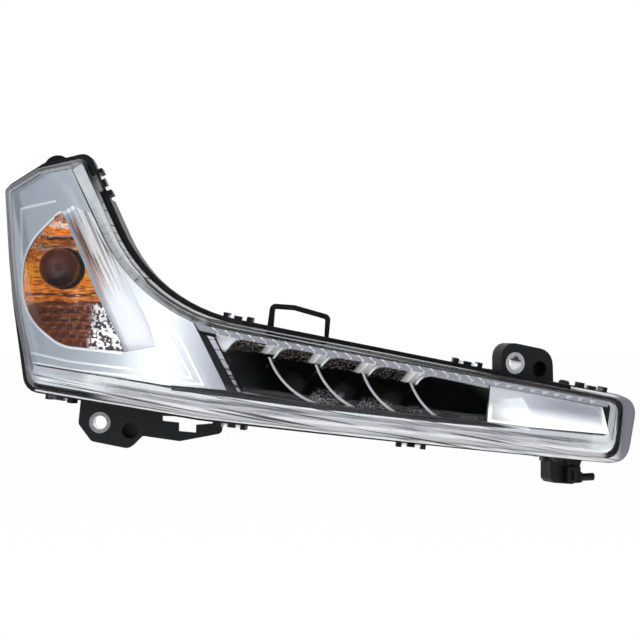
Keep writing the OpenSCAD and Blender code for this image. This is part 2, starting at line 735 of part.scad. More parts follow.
// Hoods over the bowls: tunnels between curved blades. They fall and turn left into the lamp.
// The profile of a tunnel is drawn in front view, from the lower end of its own blade.
hood_drop = 30;
hood_turn = 26;
hood_deep = 15;
hood_r = 10.7;
blade_t = 1.2;
flute_w = 2;
flute_deep = 0.45;
row_angle = atan(slope_down);
hood_fall = atan2(sin(hood_drop) * cos(row_angle) + cos(hood_drop) * sin(hood_turn) * sin(row_angle),
                  cos(hood_drop) * cos(hood_turn));
hood_lip = 1.9;
lip_deep = 3.5;
blade_rise = 4.8 + hood_lip;
blade_c = [sqrt(pow(hood_r, 2) - pow(hood_r - blade_rise, 2)), blade_rise - hood_r];
function blade_at(k) = [-28.5 + pitch * k, -23.6 - pitch * slope_down * k];
function down_row(p) =
    [p[0] * cos(row_angle) + p[1] * sin(row_angle), p[1] * cos(row_angle) - p[0] * sin(row_angle)];
function arc_points(c, r, a0, a1, deep) =
    let (n = 2 * round(abs(a1 - a0) * PI / 180 * r / flute_w))
        [for (i = [0 : n])
            let (a = a0 + (a1 - a0) * i / n, q = r + (i % 2) * deep)
                c + q * [cos(a), sin(a)]];
function tunnel(last) =
    let (next = pitch / cos(row_angle), deep = last ? 0 : flute_deep,
         outer = hood_r + blade_t, reach = sqrt(pow(outer, 2) - pow(hood_r, 2)),
         right = last ? 80 : next + blade_c[0] - reach,
         n = 2 * round((right - blade_c[0]) / flute_w / 2))
        concat([[blade_c[0] - hood_r, -30]],
               arc_points(blade_c, hood_r, 180, 90, deep),
               [for (i = [1 : n - 1])
                   [blade_c[0] + (right - blade_c[0]) * i / n, blade_rise + (i % 2) * deep]],
               last ? [[right, blade_rise], [right, -30]] :
               concat(arc_points(blade_c + [next, 0], outer, 180 - acos(reach / outer), 180, -deep),
                      [[next + blade_c[0] - outer, -30]]));
function into_hood(p) =
    [p[0] * cos(hood_turn), (p[0] * sin(hood_turn) * tan(hood_drop) - p[1]) * cos(hood_drop)];
module hood_tunnel(k) {
    b = blade_at(k);
    translate([b[0], sweep(b[0]) + row_depth, b[1]]) rotate([-90 - hood_drop, 0, hood_turn])
        translate([0, 0, -70]) linear_extrude(130)
            polygon([for (p = tunnel(k == fins - 1)) into_hood(down_row(p))]);
}
module above_hoods() {
    b = blade_at(1);
    translate([b[0], sweep(b[0]) + row_depth + 0.4, b[1]]) rotate([0, row_angle, -2])
        rotate([-hood_fall, 0, 0]) translate([-far, -60, 0]) cube([2 * far, 160, 60]);
}

led_depth = row_depth + hood_deep + 4;
module light_row_reflector()
    color([0.3, 0.31, 0.33])
        difference() {
            union() {
                bowls(fins - 1);
                difference() {
                    swept(row_zone, row_depth + 0.1, 40);
                    prism(shift(row_zone, 0, -1.6), -20, far);
                    above_hoods();
                }
                difference() {
                    intersection() {
                        union() {
                            swept(row_zone, row_depth - 0.4, row_depth + hood_deep);
                            swept(shift(row_zone, 0, hood_lip), row_depth - 0.4,
                                  row_depth + lip_deep);
                        }
                        above_hoods();
                    }
                    for (k = [-1 : fins - 1]) hood_tunnel(k);
                }
                for (p = row_feet) post(p, foot_r, row_depth + 24, row_seat);
            }
            for (p = row_feet) post(p, screw_r - 0.1, row_seat - 8, row_seat + 1);
            for (k = [-1 : fins - 1])
                let (x = led_at(k))
                    translate([x - 2.5, sweep(x) + led_depth - 2.5, lookup(x, row_top) - 3])
                        cube([5, 5, 6]);
        }
function led_at(k) = blade_at(k)[0] + pitch * 0.55;

module row_plate(z0, z1, d0, d1)
    intersection() {
        swept(concat(shift(row_top, 0, z1), back(shift(row_top, 0, z0))), d0, d1);
        translate([-58, 0, -far]) cube([158, far, 2 * far]);
    }

module led_board() color([0.9, 0.9, 0.88]) row_plate(0.15, 1.7, 18, 39);

module leds()
    color([0.95, 0.85, 0.4])
        for (k = [-1 : fins - 1])
            let (x = led_at(k), z = lookup(x, row_top) + 0.15)
                translate([x, sweep(x) + led_depth, z]) rotate([0, row_angle, 0])
                    translate([-1.5, -1.5, -1]) cube([3, 3, 0.94]);

module led_heat_sink()
    color([0.7, 0.71, 0.72]) {
        row_plate(1.75, 3.2, 23, 43);
        difference() {
            row_plate(-17, 2.4, 41.3, 43);
            for (p = row_feet) post(p, foot_r + 1.5, 30, 60);
        }
    }

// The bar's front has chevron grooves, and towards the inner end notches like saw teeth
prism_deep = 1.8;
prism_w = 0.9;
teeth_x = 104;
module prism_bar()
    color([0.85, 0.9, 0.95], 0.7) {
        bar_bottom = concat([[-75.9, -2.9 - bar_h]],
                            [for (i = [1 : 5]) bar_top[i] - [0, bar_h]]);
        difference() {
            swept(concat(bar_top, back(bar_bottom)), trim_depth + 1.5, trim_depth + 7.5);
            difference() {
                for (x = [-66 : prism_pitch : arm_end - 14])
                    let (z = lookup(x, bar_top))
                        prism(x < teeth_x ? chevron(x, z) : tooth(x, z), -20, far);
                behind(trim_depth + 1.5 + prism_deep);
            }
            for (x = [-70 : prism_pitch : arm_end - 12])
                translate([x, sweep(x) + trim_depth + 7.5 - prism_deep, -far])
                    rotate([0, 0, 45]) cube([prism_deep * 2, prism_deep * 2, 2 * far]);
        }
    }
function chevron(x, z) =
    stroke([[x - prism_pitch * 0.3, z + 1], [x + prism_pitch * 0.25, z - bar_h * 0.8],
            [x + prism_pitch * 0.1, z - bar_h - 1]], prism_w);
function tooth(x, z) =
    [[x, z - bar_h * 0.35], [x + prism_pitch * 0.7, z - bar_h * 0.55],
     [x + prism_pitch * 0.1, z - bar_h * 0.98]];

module divider_trim()
    color([0.05, 0.05, 0.055])
        swept([line_1[1] + [0.2, 0.8], line_1[2] + [0.3, 1.3], line_2[2] + [-0.1, -0.1],
               line_2[1] + [-0.1, -0.1]], trim_depth - 1, 22);

module divider_strip()
    color([0.85, 0.86, 0.88])
        swept([line_2[1] + [0.1, -0.1], line_2[2] + [0.1, -0.15], line_3[2] + [-0.2, -0.55],
               line_3[1] + [-0.2, -0.9]], trim_depth - 0.4, 22);

module lower_trim_bar()
    color([0.05, 0.05, 0.055])
        swept(concat(trim_top, trim_bottom), trim_depth + 3.5, trim_depth + 7.5);

strip_line = concat([[-48.7, -45.9]], [for (i = [2 : 5]) trim_top[i]]);
module lower_strip()
    color([0.88, 0.89, 0.9])
        swept(concat(shift(strip_line, 0, 0.05), back(shift(strip_line, 0, 0.85))),
              trim_depth + 2.5, trim_depth + 7);

end_top = more[0] * [1, top_slope];
end_low = more[0] * [1, bottom_slope];
end_zone = [[106.8, -41.3], [144.4, -48.3], [178.2, -54.8] + end_top, [182.6, -72.2] + end_low,
            [132.3, -67.4], [104.9, -63.8]];
end_pocket = [[108.7, -50.2], [135.6, -47.9], [176.2, -55.8] + end_top,
              [180.4, -69.2] + end_low, [132.4, -66], [107.2, -62.4]];
function rounded_back(P, d) =
    [for (v = inset([for (p = back(P)) [p[0], p[1], 0.5]], d)) [v[0], v[1]]];
module end_trim()
    color([0.74, 0.74, 0.75])
        difference() {
            union() {
                swept(end_zone, trim_depth + 3, trim_depth + 5.5);
                swept(rounded_back(end_pocket, -1.1), trim_depth + 4, 30);
                for (p = end_feet) post(p, foot_r, 30, end_seat);
            }
            intersection() {
                swept(end_pocket, -5, 27);
                union() {
                    translate([104, 16, -20]) rotate([0, 0, -28]) rotate([16, 0, 0])
                        translate([-10, -60, -80]) cube([70, 60, 120]);
                    translate([118, 14, -30]) rotate([0, 0, 9]) rotate([-7, 0, 0])
                        translate([-10, -60, -80]) cube([80, 60, 120]);
                }
            }
            for (p = end_feet) post(p, screw_r - 0.1, end_seat - 9, end_seat + 1);
        }

module row_connector()
    color([0.14, 0.14, 0.15])
        translate([connector[0], arm_y + 3, connector[1]])
            difference() {
                union() {
                    translate([-13.5, 0.1, -9.5]) cube([27, 2, 19]);
                    translate([-connector_w / 2 + 0.2, -8, -connector_h / 2 + 0.2])
                        cube([connector_w - 0.4, 24, connector_h - 0.4]);
                    translate([-3, 2, connector_h / 2 - 0.4]) cube([6, 10, 2]);
                }
                translate([-connector_w / 2 + 1.6, 2, -connector_h / 2 + 1.6])
                    cube([connector_w - 3.2, 20, connector_h - 3.2]);
                for (x = [-4.5, 0, 4.5]) translate([x - 0.4, -10, -0.4]) cube([0.8, 20, 0.8]);
            }

module row_connector_pins()
    color([0.8, 0.74, 0.5])
        for (x = [-4.5, 0, 4.5])
            translate([connector[0] + x - 0.35, arm_y - 10, connector[1] - 0.35])
                cube([0.7, 22, 0.7]);

module vent_cap()
    color([0.1, 0.1, 0.105])
        difference() {
            post(vent, vent_r + 1.6, arm_y + 1, arm_y + 8);
            post(vent, vent_r + 0.1, arm_y, arm_y + 6);
            for (a = [0 : 60 : 300])
                translate([vent[0], arm_y, vent[1]]) rotate([0, a, 0])
                    translate([vent_r - 1, -1, -1]) cube([5, 5, 2]);
        }

// Fixing lugs
module turned() translate(fixing) rotate([0, 0, lug_turn]) children();
lug_outline = [[-10, -22, 1], [29.5, -26, 1], [28.4, 7.6, 11], [-10, 14.8, 9]];
lug_recess = [18.6, -4.2];
module housing_outside()
    union() {
        prism(outline(body), 0, far);
        swept(outline(inset(flange, -0.2)), lip_top - 1, flange_back + 0.2);
    }

module upper_fixing_lug()
    color([0.16, 0.17, 0.18])
        difference() {
            union() {
                difference() {
                    turned() prism(rounded(lug_outline, 5), -lug_t / 2, lug_t / 2);
                    turned() post([-0.4 + 9, -15], 3.5, -20, 20);
                }
                intersection() {
                    on_edge(body, TR, 140)
                        translate([-30, flange_back + 4, -3]) cube([60, 26, 3]);
                    prism(outline(inset(flange, -2)), 0, arm_y - 1);
                }
            }
            turned() post([0, 0], bush_r, -20, 20);
            turned() post(lug_recess, 5.2, -20, 3);
            housing_outside();
            for (s = upper_screws) screw_place(s) through_hole();
        }

module through_hole()
    translate([0, 0, -40]) {
        cylinder(r = screw_r + 0.25, h = 60);
        cylinder(r = head_r + 0.6, h = 37);
    }

module bush(t)
    rotate([90, 0, 0]) difference() {
        cylinder(r = bush_r, h = t + 1, center = true);
        cylinder(r = bore_r, h = t + 3, center = true);
    }

module upper_bush() color([0.72, 0.73, 0.74]) turned() bush(lug_t);

lower = [-144.3, 63.5, -67.2];
lower_outline = [[-156, -44, 1], [-158.5, -68, 4], [-150, -79.5, 4], [-125, -84.5, 6],
                 [-116.5, -76, 3], [-92, -79.5, 2], [-64.5, -74.4, 3], [-61.5, -50, 1]];
module lower_fixing_bracket()
    color([0.13, 0.135, 0.14])
        difference() {
            union() {
                intersection() {
                    prism(rounded(lower_outline, 5), lower[1] - lug_t / 2, lower[1] + lug_t / 2);
                    union() {
                        translate([-170, 0, -100]) cube([55, 90, 100]);
                        translate([-120, 0, -100]) cube([70, lower[1] - 2, 100]);
                    }
                }
                on_edge(body, BL, -134) translate([-23, lower[1] - 4, -3]) cube([45, 30, 3]);
                for (x = [-154, -136, -114])
                    on_edge(body, BL, x)
                        rotate([90, 0, 90]) linear_extrude(2.4, center = true)
                            polygon([[lower[1] + 5, -13], [lower[1] + 22, -2.5],
                                     [lower[1] + 5, -2.5]]);
            }
            post([lower[0], lower[2]], bush_r, 0, far);
            post([-124.6, -72.5], 5.2, 0, lower[1] + 3);
            prism([[-103.3, -62.9], [-103.3, -66.2], [-92.6, -67.4], [-92.6, -73],
                   [-81.4, -74], [-81.2, -68.8], [-70.4, -67.9], [-70.4, -64]], 40, 90);
            housing_outside();
            for (s = lower_screws) screw_place(s) through_hole();
        }

module lower_bush()
    color([0.72, 0.73, 0.74]) translate(lower) bush(lug_t);

locator = [148.7, 47, -89];
locator_outline = [[-1.5, 9, 1], [-1.5, -14, 3], [1, -16.4, 2], [17, -18, 3], [22.5, -2, 4],
                   [22.5, 9, 1]];
module locating_bracket()
    color([0.13, 0.135, 0.14])
        difference() {
            union() {
                translate(locator) rotate([0, 0, lug_turn])
                    prism(rounded(locator_outline, 4), -4, 8);
                intersection() {
                    on_edge(body, BM, 156) translate([-21, flange_back + 8, -3])
                        cube([42, 22, 3]);
                    prism(outline(inset(flange, -2)), 0, arm_y - 1);
                }
            }
            housing_outside();
            for (s = locator_screws) screw_place(s) through_hole();
            translate(locator) rotate([0, 0, lug_turn]) translate([9.4, -10, -15])
                cube([4.2, 30, 8]);
        }

module locating_peg()
    color([0.1, 0.1, 0.1])
        translate(locator) rotate([0, 0, lug_turn]) {
            difference() {
                translate([8.2, -9.2, -16.6]) cube([10, 5.1, 10.5]);
                translate([9.8, -10, -14.4]) cube([3, 2, 6]);
            }
            translate([9.6, -4.4, -14.8]) cube([3.8, 14.2, 7.6]);
            translate([9.6, 8.2, -15.6]) cube([3.8, 1.6, 9.2]);
            translate([17.5, -6.8, -13.2]) rotate([0, 90, 0]) cylinder(r = 2.5, h = 11.5);
            translate([17, -9.6, -16.2]) cube([2.2, 5.4, 6.6]);
        }

// Retaining loop on top of the arm
loop_y = 41;
loop_w = 9;
loop_outer = [[5.4, -14, 1], [7, 3, 4], [-16.2, 9.6, 8], [-32, 10.8, 4], [-34.6, -8, 1]];
module retaining_loop()
    color([0.08, 0.08, 0.085])
        difference() {
            union() {
                prism(rounded([for (p = loop_outer) [p[0], p[1] + (p[1] > 0 ? loop_h - 13 : 0),
                                                     p[2]]], 5), loop_y, loop_y + loop_w);
                for (x = [-32, 4])
                    on_edge(body, TR, x) translate([-6, loop_y, -2.6]) cube([12, 18, 2.6]);
            }
            prism(rounded([for (p = inset(loop_outer, loop_bar))
                               [p[0], p[1] < 0 ? p[1] - 9 : p[1] + loop_h - 13, max(p[2], 1)]],
                          5), 0, 100);
            housing_outside();
        }

module rubber_buffer()
    color([0.07, 0.07, 0.07])
        difference() {
            union() {
                post([-173.5, 99.5], 9.6, top_y + 0.05, top_y + 7);
                translate([-173.5, top_y + 7, 99.5]) scale([1, 0.5, 1]) sphere(r = 9.6);
            }
            translate([-190, 0, 60]) cube([40, top_y, 60]);
        }

// Screws, drawn with the head up and the shank down
module screw(h, shank)
    difference() {
        union() {
            rotate_extrude()
                polygon([[0, 0], [head_r, 0], [head_r, 1.2], [head_r - 1, 2.2], [0, 2.6]]);
            translate([0, 0, -h]) cylinder(r = shank, h = h + 0.5);
        }
        for (a = [0, 90]) rotate([0, 0, a]) translate([-2, -0.4, 1.4]) cube([4, 0.8, 3]);
    }
module foot_screw(p, seat)
    translate([p[0], back_at(p), p[1]]) rotate([-90, 0, 0])
        screw(back_at(p) - seat + 6, screw_r - 0.12);

module inner_screws()
    color([0.6, 0.61, 0.62]) {
        for (p = bezel_feet) foot_screw(p, bezel_seat);
        for (p = dish_feet) foot_screw(p, dish_seat);
        for (p = row_feet) foot_screw(p, row_seat);
        for (p = end_feet) foot_screw(p, end_seat);
    }

module bracket_screws()
    color([0.6, 0.61, 0.62])
        for (s = bracket_screw_list)
            screw_place(s) translate([0, 0, -3]) mirror([0, 0, 1]) screw(9, screw_r - 0.05);

fixing = [123.4, 47, -27.8];

from_fixing() housing();
from_fixing() outer_lens();
from_fixing() sealing_bead();
from_fixing() inner_frame();
from_fixing() indicator_bezel();
from_fixing() indicator_reflector();
from_fixing() bulb_glass();
from_fixing() bulb_filament();
from_fixing() bulb_base();
from_fixing() bulb_holder();
from_fixing() bulb_contacts();
from_fixing() bulb_holder_seal();
from_fixing() light_row_reflector();
from_fixing() led_board();
from_fixing() leds();
from_fixing() led_heat_sink();
from_fixing() prism_bar();
from_fixing() divider_trim();
from_fixing() divider_strip();
from_fixing() lower_trim_bar();
from_fixing() lower_strip();
from_fixing() end_trim();
from_fixing() row_connector();
from_fixing() row_connector_pins();
from_fixing() vent_cap();
from_fixing() upper_fixing_lug();
from_fixing() upper_bush();
from_fixing() lower_fixing_bracket();
from_fixing() lower_bush();
from_fixing() locating_bracket();
from_fixing() locating_peg();
from_fixing() retaining_loop();
from_fixing() rubber_buffer();
from_fixing() inner_screws();
from_fixing() bracket_screws();
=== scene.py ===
"""Vehicle indicator lamp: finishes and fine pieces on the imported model."""

import math

import bmesh
import bpy
from bpy.props import FloatProperty, FloatVectorProperty, PointerProperty
from mathutils import Matrix, Vector


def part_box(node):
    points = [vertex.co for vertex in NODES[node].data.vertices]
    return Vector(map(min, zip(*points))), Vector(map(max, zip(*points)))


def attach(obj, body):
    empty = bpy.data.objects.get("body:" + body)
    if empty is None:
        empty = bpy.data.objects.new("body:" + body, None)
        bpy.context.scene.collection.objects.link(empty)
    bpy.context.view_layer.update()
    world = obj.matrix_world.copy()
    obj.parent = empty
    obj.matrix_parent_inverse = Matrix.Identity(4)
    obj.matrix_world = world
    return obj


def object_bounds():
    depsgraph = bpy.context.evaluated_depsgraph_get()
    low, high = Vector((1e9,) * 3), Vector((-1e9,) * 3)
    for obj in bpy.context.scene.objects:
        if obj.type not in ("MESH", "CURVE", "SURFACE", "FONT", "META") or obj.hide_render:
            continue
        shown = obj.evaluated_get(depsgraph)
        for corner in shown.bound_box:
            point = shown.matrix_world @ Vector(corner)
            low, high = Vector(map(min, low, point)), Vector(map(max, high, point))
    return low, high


bl_info = {
    "name": "Vehicle indicator lamp",
    "version": (1, 0, 0),
    "blender": (4, 5, 0),
    "location": "View3D > Sidebar > Lamp",
    "description": "Finishes and fine pieces of an indicator and daytime lamp",
    "category": "Object",
}

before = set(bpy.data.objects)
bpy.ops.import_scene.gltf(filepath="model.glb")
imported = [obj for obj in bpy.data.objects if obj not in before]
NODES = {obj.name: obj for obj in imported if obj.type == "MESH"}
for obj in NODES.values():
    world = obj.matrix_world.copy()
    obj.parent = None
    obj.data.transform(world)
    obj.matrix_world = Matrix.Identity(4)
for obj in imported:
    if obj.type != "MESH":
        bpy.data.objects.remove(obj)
CAD_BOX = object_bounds()
MM = 0.001

# The origin is in the upper bush. These lead back to the front view that the lamp was drawn in.
FIXING = Vector((123.4, 47, -27.8)) * MM
SWEEP_RADIUS = 900 * MM
SWEEP_X = 50 * MM - FIXING.x
BULB = Vector((-171.4, 60, 34.4)) * MM - FIXING
ROW_DEPTH = 14 * MM
TRIM_DEPTH = 6 * MM
PRISM_FRONT = 7.5 * MM
PALE_WALL_END = -150 * MM
POCKET_START = 112 * MM
LEG_DEPTHS = (16.8 * MM, 20.1 * MM)

# Upper end of the cove's left edge, and the way that the cove runs from there
COVE_TOP = Vector((-165.6, 0, 69.2)) * MM
COVE_DIRECTION = Vector((40.6, 0, -89.6)).normalized()

# The plane in which the hoods' tunnels end, and how their blades repeat along the row
HOOD_POINT = Vector((1.4, 15.7, -29.1)) * MM - FIXING
HOOD_UP = Vector((0.167, 0.579, 0.798)).normalized()
HOOD_PITCH = 34.07 * MM
HOOD_START = -9.5 * MM
HOOD_SLANT = 0.759
SLOPE_DOWN = 0.184


def linear(colour):
    """An sRGB hex value, such as #808080, as the linear colour that shaders take."""
    parts = [int(colour[i : i + 2], 16) / 255 for i in (1, 3, 5)]
    return [p / 12.92 if p <= 0.04045 else ((p + 0.055) / 1.055) ** 2.4 for p in parts]


def rgba(colour):
    """A colour with its alpha, from a hex value or three linear parts."""
    return (*(linear(colour) if isinstance(colour, str) else colour), 1.0)


def add_node(tree, kind, sockets=None, **settings):
    """Adds one node, with its settings, its socket values and its links."""
    node = tree.nodes.new("ShaderNode" + kind)
    for name, value in settings.items():
        setattr(node, name, value)
    for name, value in (sockets or {}).items():
        if isinstance(value, bpy.types.NodeSocket):
            tree.links.new(value, node.inputs[name])
        else:
            node.inputs[name].default_value = value
    return node


def new_material(name, **sockets):
    """A material with one Principled shader, its tree and its Object coordinates."""
    material = bpy.data.materials.new(name)
    material.use_nodes = True
    tree = material.node_tree
    tree.nodes.clear()
    shader = add_node(tree, "BsdfPrincipled", sockets)
    output = add_node(tree, "OutputMaterial", {"Surface": shader.outputs["BSDF"]})
    output.target = "ALL"
    place = add_node(tree, "TexCoord").outputs["Object"]
    return material, tree, shader, place


def math_node(tree, operation, *values):
    """The result of one Math operation."""
    sockets = dict(enumerate(values))
    return add_node(tree, "Math", sockets, operation=operation).outputs["Value"]


def blend_colours(tree, factor, first, second):
    """The colour between two, by a factor."""
    mix = add_node(tree, "Mix", data_type="RGBA")
    for index, value in ((0, factor), (6, first), (7, second)):
        if isinstance(value, bpy.types.NodeSocket):
            tree.links.new(value, mix.inputs[index])
        else:
            mix.inputs[index].default_value = value
    return mix.outputs[2]


def facing(tree, direction):
    """How far a face turns towards a direction: 1 straight at it, -1 straight away."""
    normal = add_node(tree, "NewGeometry").outputs["True Normal"]
    towards = Vector(direction).normalized()
    turn = add_node(tree, "VectorMath", {0: normal, 1: towards}, operation="DOT_PRODUCT")
    return turn.outputs["Value"]


def mix_shaders(tree, factor, first, second):
    """The Mix Shader node between two shaders, by a factor."""
    mix = add_node(tree, "MixShader", {0: factor})
    tree.links.new(first.outputs[0], mix.inputs[1])
    tree.links.new(second.outputs[0], mix.inputs[2])
    return mix


def colour_ramp(tree, value, stops, interpolation="LINEAR"):
    """The colour along a row of stops, each a place on the value's own scale and a colour."""
    first, last = stops[0], stops[-1]
    reach = add_node(
        tree, "MapRange", {"Value": value, "From Min": first[0], "From Max": last[0]}
    )
    node = add_node(tree, "ValToRGB", {"Fac": reach.outputs["Result"]})
    node.color_ramp.interpolation = interpolation
    elements = node.color_ramp.elements
    for place, colour in stops[1:-1]:
        elements.new((place - first[0]) / (last[0] - first[0])).color = rgba(colour)
    elements[0].color = rgba(first[1])
    elements[-1].color = rgba(last[1])
    return node.outputs["Color"]


def mask(tree, value, low, high):
    """0 below low and 1 above high, with a smooth step between. It falls where low is above high."""
    sockets = {"Value": value, "From Min": min(low, high), "From Max": max(low, high)}
    if low > high:
        sockets["To Min"] = 1.0
        sockets["To Max"] = 0.0
    ramp = add_node(tree, "MapRange", sockets, interpolation_type="SMOOTHSTEP")
    return ramp.outputs["Result"]


def front_view(tree, place):
    """Place across, depth behind the swept front and height, as the front view draws them."""
    axes = add_node(tree, "SeparateXYZ", {"Vector": place}).outputs
    across = math_node(tree, "SUBTRACT", axes["X"], SWEEP_X)
    squared = math_node(tree, "MULTIPLY", across, across)
    rest = math_node(tree, "SUBTRACT", SWEEP_RADIUS**2, squared)
    bulge = math_node(tree, "SUBTRACT", SWEEP_RADIUS, math_node(tree, "SQRT", rest))
    depth = math_node(tree, "ADD", math_node(tree, "SUBTRACT", axes["Y"], bulge), FIXING.y)
    x = math_node(tree, "ADD", axes["X"], FIXING.x)
    z = math_node(tree, "ADD", axes["Z"], FIXING.z)
    return x, depth, z


def grain(tree, place, shader, size, strength, distance, spread=0.0, middle=0.5):
    """A moulded grain: fine noise in the bump and a little of it in the roughness."""
    noise = add_node(
        tree, "TexNoise", {"Vector": place, "Scale": 1 / size, "Detail": 3.0, "Roughness": 0.55}
    )
    bump = add_node(
        tree,
        "Bump",
        {"Strength": strength, "Distance": distance, "Height": noise.outputs["Fac"]},
    )
    tree.links.new(bump.outputs["Normal"], shader.inputs["Normal"])
    if spread:
        broad = add_node(tree, "TexNoise", {"Vector": place, "Scale": 0.08 / size, "Detail": 4.0})
        reach = add_node(
            tree,
            "MapRange",
            {
                "Value": broad.outputs["Fac"],
                "From Min": 0.3,
                "From Max": 0.7,
                "To Min": middle - spread,
                "To Max": middle + spread,
            },
        )
        tree.links.new(reach.outputs["Result"], shader.inputs["Roughness"])
    return noise.outputs["Fac"]


def dress(nodes, material, angle=28):
    """Gives CAD nodes a material, smooth curved faces and sharp edges."""
    for name in nodes:
        node = NODES[name]
        node.data.materials.clear()
        node.data.materials.append(material)
        for polygon in node.data.polygons:
            polygon.use_smooth = True
        weld = node.modifiers.new("Weld", "WELD")
        weld.merge_threshold = 2e-6
        split = node.modifiers.new("Sharp edges", "EDGE_SPLIT")
        split.split_angle = math.radians(angle)


# Sizes and colours that a user would change


class LampLook(bpy.types.PropertyGroup):
    """Finishes of the lamp."""

    lens_tint: FloatVectorProperty(
        name="Lens tint",
        description="Colour of the clear lens",
        subtype="COLOR",
        default=linear("#FAFCFD"),
    )
    silver: FloatVectorProperty(
        name="Satin silver",
        description="Colour of the bezel and the end pocket",
        subtype="COLOR",
        default=linear("#CDD0D5"),
    )
    # Painted light: this tone is the near-white lit side painted on the hoods' flutes, not the bowls'
    # own near-black.
    smoked: FloatVectorProperty(
        name="Smoked chrome",
        description="Colour of the light row's fluted hoods",
        subtype="COLOR",
        default=linear("#FAFAF8"),
    )
    grain_size: FloatProperty(
        name="Grain",
        description="Size of the grain on moulded black pieces",
        subtype="DISTANCE",
        default=0.5 * MM,
    )


class LampStage(bpy.types.PropertyGroup):
    """Camera and light."""

    distance: FloatProperty(
        name="Camera distance",
        description="Distance of the camera from the lamp's foremost line",
        subtype="DISTANCE",
        default=1.0,
    )
    view_width: FloatProperty(
        name="View width",
        description="Width of the view at the lamp's foremost line",
        subtype="DISTANCE",
        default=0.3968,
    )
    floor_gap: FloatProperty(
        name="Floor gap",
        description="How far the floor lies under the lamp",
        subtype="DISTANCE",
        default=0.16,
    )


class LAMP_OT_stage(bpy.types.Operator):
    """Pale floor, white background, soft lights and the camera"""

    bl_idname = "lamp.stage"
    bl_label = "Stage"

    def execute(self, context):
        settings = context.scene.lamp_stage
        scene = context.scene
        scene.view_settings.view_transform = "Standard"
        make_camera(scene, settings)
        make_world(scene)
        make_floor(scene, settings)
        for name, place, size, power in SOFT_BOXES:
            make_soft_box(scene, name, place, size, power)
        return {"FINISHED"}


# Soft boxes: name, place, width and height in metres, and power in watts
SOFT_BOXES = (
    ("Key", (-0.55, -1.3, 1.05), (0.8, 0.6), 9.0),
    ("Top", (-0.1, -0.25, 1.25), (1.6, 0.8), 11.0),
    ("Side", (1.15, -0.9, 0.35), (0.4, 1.0), 4.0),
    ("Low", (-0.1, -0.8, -0.2), (1.0, 0.3), 5.0),
)

# What metal and glass see round the lamp, from the left over the front to the right: the
# angle from straight ahead, in degrees, and the tone of the panel there
PANELS = (
    (-110, "#BDBDBD"),
    (-88, "#AAACB0"),
    (-66, "#858A91"),
    (-50, "#868B92"),
    (-38, "#959A9E"),
    (-33, "#A1A4A8"),
    (-29, "#BCBDC3"),
    (-27, "#FFFFFF"),
    (-23.8, "#FFFFFF"),
    (-20.5, "#B7B5BC"),
    (-17.5, "#8B8991"),
    (-13, "#222327"),
    (12.5, "#222327"),
    (15.5, "#B4B2B7"),
    (20, "#96929A"),
    (28, "#78777D"),
    (36, "#BDBDBD"),
    (46, "#B1B2B7"),
    (56, "#515359"),
    (66, "#696C72"),
    (80, "#9D9EA4"),
    (100, "#BDBDBD"),
)


def make_camera(scene, settings):
    """Camera before the middle of the front view, looking along +Y."""
    camera = bpy.data.cameras.new("Camera")
    camera.sensor_width = 36.0
    camera.lens = camera.sensor_width * settings.distance / settings.view_width
    camera.dof.use_dof = False
    camera.clip_start = 0.05
    camera_object = bpy.data.objects.new("Camera", camera)
    camera_object.location = Vector((0, -settings.distance, 0)) - FIXING
    camera_object.rotation_euler = (math.radians(90), 0, 0)
    scene.collection.objects.link(camera_object)
    scene.camera = camera_object


def make_world(scene):
    """Plain soft light, a white background, and panels that metal and glass show."""
    world = bpy.data.worlds.new("Studio")
    world.use_nodes = True
    tree = world.node_tree
    tree.nodes.clear()
    path = add_node(tree, "LightPath").outputs
    light = add_node(tree, "Background", {"Color": rgba("#F4F6F8"), "Strength": 0.6})
    white = add_node(tree, "Background", {"Color": rgba("#FFFFFF"), "Strength": 1.0})
    axes = add_node(tree, "SeparateXYZ", {"Vector": add_node(tree, "TexCoord").outputs["Generated"]})
    ahead = math_node(tree, "MULTIPLY", axes.outputs["Y"], -1.0)
    angle = math_node(tree, "ARCTAN2", axes.outputs["X"], ahead)
    panels = colour_ramp(tree, math_node(tree, "DEGREES", angle), PANELS)
    height = mask(tree, axes.outputs["Z"], 0.15, 0.55)
    tone = blend_colours(tree, height, panels, rgba("#BDBDBD"))
    degrees = math_node(tree, "DEGREES", angle)
    flare = math_node(tree, "MULTIPLY", mask(tree, degrees, -27.5, -26), mask(tree, degrees, -23, -25))
    strength = math_node(tree, "MULTIPLY_ADD", flare, 1.5, 2.0)
    around = add_node(tree, "Background", {"Color": tone, "Strength": strength})
    shown = math_node(tree, "MAXIMUM", path["Is Glossy Ray"], path["Is Transmission Ray"])
    surroundings = mix_shaders(tree, shown, light, around)
    mix = mix_shaders(tree, path["Is Camera Ray"], surroundings, white)
    add_node(tree, "OutputWorld", {"Surface": mix.outputs[0]})
    scene.world = world


# How far the floor reaches before the lamp
FLOOR_FRONT = 0.8


